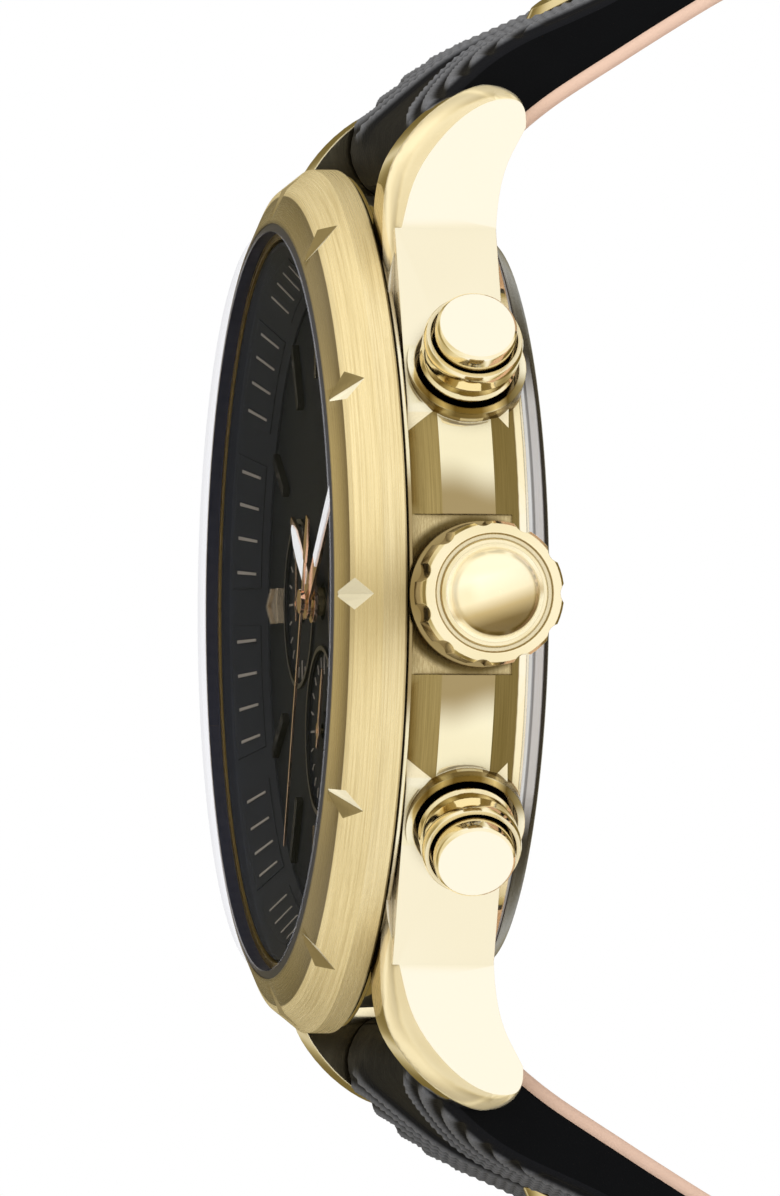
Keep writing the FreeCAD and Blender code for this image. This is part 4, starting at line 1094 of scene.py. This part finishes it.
def on_slope(degrees):
    """Placer of (up the slope, across, off it) on the flange, at an angle from 3 o'clock."""
    angle = math.radians(degrees)
    c, s = math.cos(angle), math.sin(angle)

    def place(up, across, off):
        r = SLOPE_IN[0] + up * math.cos(SLOPE) - off * math.sin(SLOPE)
        z = SLOPE_IN[1] + up * math.sin(SLOPE) + off * math.cos(SLOPE)
        return drawing(c * r - s * across, s * r + c * across, z)
    return place


def minute_ticks():
    """Ticks up the flange at every minute between the hours."""
    ticks = Plates()
    outline = [(0.75, -0.07), (2.0, -0.085), (2.0, 0.085), (0.75, 0.07)]
    for minute in range(60):
        if minute % 5:
            ticks.plate(outline, 0.0, 0.09, bevel=0.02, place=on_slope(6 * minute))
    return ticks.object("minute_ticks", "tick")


def flange_panels():
    """Low curved panels on the flange between the hours."""
    panels = Plates()
    row = 9                             # points along each curved edge
    points = [(0.45, -11.6 + 23.2 * k / (row - 1)) for k in range(row)]
    points += [(2.35, 11.9 - 23.8 * k / (row - 1)) for k in range(row)]
    size = 2 * row
    levels = ((0.0, 0.0), (0.0, 0.035), (0.04, 0.05))       # inset, height
    for hour in range(12):
        first = panels.walls([
            [on_slope(30 * hour + 15 + angle * (1 - inset * 0.1))(
                up + (inset if up < 1 else -inset), 0.0, height) for up, angle in points]
            for inset, height in levels])
        for level, flip in ((0, True), (2, False)):
            start = first + level * size
            for k in range(row - 1):
                quad = (start + k, start + k + 1, start + size - 2 - k, start + size - 1 - k)
                panels.faces.append(quad[::-1] if flip else quad)
    return panels.object("flange_panels", "flange_black")


def turned(points, angle, middle=(0, 0)):
    """Turns (along, across) points to an angle from 3 o'clock about a middle."""
    c, s = math.cos(angle), math.sin(angle)
    return [(middle[0] + c * a - s * b, middle[1] + s * a + c * b) for a, b in points]


SUBDIAL_OFFSET, SUBDIAL_TICK_END = 6.6, 3.9


def subdial_ticks():
    """24 ticks on each subdial; every sixth is longer and wider."""
    ticks = Plates()
    for middle in ((SUBDIAL_OFFSET, 0), (-SUBDIAL_OFFSET, 0), (0, -SUBDIAL_OFFSET)):
        for i in range(24):
            start, half = (3.35, 0.035) if i % 6 else (2.9, 0.055)
            outline = [(start, -half), (SUBDIAL_TICK_END, -half),
                       (SUBDIAL_TICK_END, half), (start, half)]
            ticks.plate(turned(outline, math.radians(15 * i), middle),
                        DIAL_Z - 0.12, DIAL_Z - 0.07, bevel=0.01)
    return ticks.object("subdial_ticks", "tick")


def lume(node, body, clock_angle, start, end, root_half, half):
    """White inlay along a hand, widest halfway and narrow at its tip."""
    front = front_of(node)
    reach = end - start
    right = [(start, -root_half), (start + reach * 0.5, -half),
             (start + reach * 0.8, -half * 0.85), (end, -half * 0.25)]
    outline = right + [(a, -b) for a, b in right[::-1]]
    inlay = Plates()
    inlay.plate(turned(outline, math.radians(90 - clock_angle)), front - 0.01, front + 0.07,
                bevel=0.03)
    hand_over(inlay.object(node + "_lume", "lume"), body)


hand_over(minute_ticks(), "case")
hand_over(flange_panels(), "case")
hand_over(subdial_ticks(), "case")
lume("hour_hand", "hour", clock_angle=304.5, start=2.2, end=6.9, root_half=0.42, half=0.55)
lume("minute_hand", "minute", clock_angle=54.0, start=3.4, end=11.6, root_half=0.36, half=0.42)

# ------------------------------------------------------------------ pusher springs
WIRE_RADIUS, COIL_RADIUS, COIL_PITCH, COIL_TURNS = 0.18, 1.14, 0.8, 3
TURN_STEPS, WIRE_SIDES = 48, 12


def spring(node, side):
    """Return spring under a pusher cap."""
    middle = centre(node)
    axis = Vector((PUSHER_COS, 0, side * PUSHER_SIN))
    first = Vector((0, 1, 0))
    second = axis.cross(first)
    sides = [2 * math.pi * k / WIRE_SIDES for k in range(WIRE_SIDES)]
    rings = []
    for n in range(COIL_TURNS * TURN_STEPS + 1):
        t = 2 * math.pi * n / TURN_STEPS
        out = first * math.cos(t) + second * math.sin(t)
        around = second * math.cos(t) - first * math.sin(t)
        along = (around * COIL_RADIUS + axis * (COIL_PITCH / (2 * math.pi))).normalized()
        across = along.cross(out)
        point = middle + axis * (COIL_PITCH * (n / TURN_STEPS - COIL_TURNS / 2)) + out * COIL_RADIUS
        rings.append([tuple(point + out * (WIRE_RADIUS * math.cos(q))
                            + across * (WIRE_RADIUS * math.sin(q))) for q in sides])
    piece = mesh_object(node + "_wire", *loft(np.array(rings) * MM), "move_steel")
    hand_over(piece, "case", node)
    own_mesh(piece)


spring("pusher_spring_upper", 1)
spring("pusher_spring_lower", -1)


# ------------------------------------------------------------------ floor
def floor_pale():
    """Pale matt floor that fades out toward its rim."""
    net, shader = material("floor_pale")
    x, y, z = net.split(net.position())
    radius = length_of(x, y)
    finish(net, shader, (0.86, 0.86, 0.86), 0.7, None, **{"Specular IOR Level": 0.2})
    clear = net.new("ShaderNodeBsdfTransparent")
    net.show(net.blend(radius.step(250.0, 480.0), shader, clear))
    return net.owner


def make_floor():
    """Round floor just under the watch; sizes in metres."""
    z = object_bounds()[0].z - 0.0005
    sides, radii = 96, (0.05, 0.15, 0.3, 0.5)
    turns = [2 * math.pi * i / sides for i in range(sides)]
    verts = [(0, 0, z)]
    verts += [(r * math.cos(t), r * math.sin(t), z) for r in radii for t in turns]
    faces = [(0, 1 + i, 1 + (i + 1) % sides) for i in range(sides)]
    for k in range(len(radii) - 1):
        a, b = 1 + k * sides, 1 + (k + 1) * sides
        for i in range(sides):
            j = (i + 1) % sides
            faces.append((a + i, b + i, b + j, a + j))
    floor = mesh_object("floor", verts, faces, floor_pale(), smooth=False)
    floor.visible_glossy = False


make_floor()


# ------------------------------------------------------------------ world, lights, camera
def bell(value, middle, spread_):
    """Bell curve: 1 at the middle."""
    q = (value - middle) / spread_
    return (q * q * -1.0).exp()


# Tone and colour of what the metal mirrors, from brown through gold to white.
MIRRORED = [
    (0.0, (0.030, 0.020, 0.004)), (0.22, (0.15, 0.108, 0.026)), (0.42, (0.45, 0.38, 0.20)),
    (0.64, (0.81, 0.756, 0.583)), (0.85, (0.98, 0.98, 0.93)), (1.0, (1.06, 1.08, 1.14))]


def studio():
    """White world; mirror rays see a bright +X side and a darker, banded -X side."""
    world = bpy.data.worlds.new("studio")
    scene.world = world
    net = Net(world, "ShaderNodeOutputWorld")
    rays = net.new("ShaderNodeLightPath")
    generated = net.out(net.new("ShaderNodeTexCoord"), "Generated")
    x, y, z = net.split(net.vector_calc("NORMALIZE", generated))
    height = abs(z)
    ahead = y.step(-0.3, -0.8)
    bright = 0.95 - bell(height, 0.66, 0.16) * 0.13
    bright = bright - bell(z, 0.0, 0.42) * ahead * 0.30
    banded = 0.24 + bell(y, -0.62, 0.24) * 0.42
    banded = banded + bell(y, 0.42, 0.10) * 0.62
    banded = banded + bell(y, -0.08, 0.05) * 0.30
    tone = bright * x.step(-0.22, 0.12) + banded * x.step(0.12, -0.22)
    glossy = net.new("ShaderNodeBackground", {"Color": tone.ramp(MIRRORED)})
    seen = net.mix(net.out(rays, "Is Camera Ray"), (0.9, 0.9, 0.9), (1, 1, 1))
    plain = net.new("ShaderNodeBackground", {"Color": seen})
    net.show(net.blend(net.out(rays, "Is Glossy Ray"), plain, glossy))


def area_light(name, place, size, power):
    """Rectangular light aimed at the origin; metres and watts. Mirrors don't show it."""
    data = bpy.data.lights.new(name, "AREA")
    data.shape = "RECTANGLE"
    data.size, data.size_y = size
    data.energy = power
    light = bpy.data.objects.new(name, data)
    scene.collection.objects.link(light)
    light.location = place
    light.visible_glossy = False
    light.rotation_mode = "QUATERNION"
    light.rotation_quaternion = (Vector((0, 0, 0)) - Vector(place)).to_track_quat("-Z", "Y")


def add_camera(azimuth, elevation, roll, distance):
    """Camera on the crown side; angles in degrees, distance in metres."""
    turn, rise = math.radians(azimuth), math.radians(elevation)
    back = Vector((math.sin(turn) * math.cos(rise), -math.cos(turn) * math.cos(rise),
                   math.sin(rise)))
    right = Vector((math.cos(turn), math.sin(turn), 0))
    up = back.cross(right).normalized()
    aim = Vector((0, -0.0023 - ZERO_PLANE * MM, 0)) + right * 6.18 * MM + up * 0.18 * MM
    data = bpy.data.cameras.new("camera")
    camera = bpy.data.objects.new("camera", data)
    scene.collection.objects.link(camera)
    camera.location = aim + back * distance
    level = Matrix((right, up, back)).transposed().to_quaternion()
    camera.rotation_mode = "QUATERNION"
    camera.rotation_quaternion = (
        level @ Matrix.Rotation(math.radians(roll), 3, "Z").to_quaternion())
    data.sensor_width = 36
    data.lens = 585
    data.clip_start, data.clip_end = 0.01, 20       # metres
    scene.camera = camera


studio()
area_light("light_top", place=(0.25, -0.25, 0.6), size=(0.5, 0.5), power=2.2)
area_light("light_side", place=(0.6, -0.35, 0.0), size=(0.3, 0.7), power=1.6)
scene.view_settings.view_transform = "Standard"
add_camera(azimuth=79.9, elevation=-1.1, roll=0.18, distance=0.99)
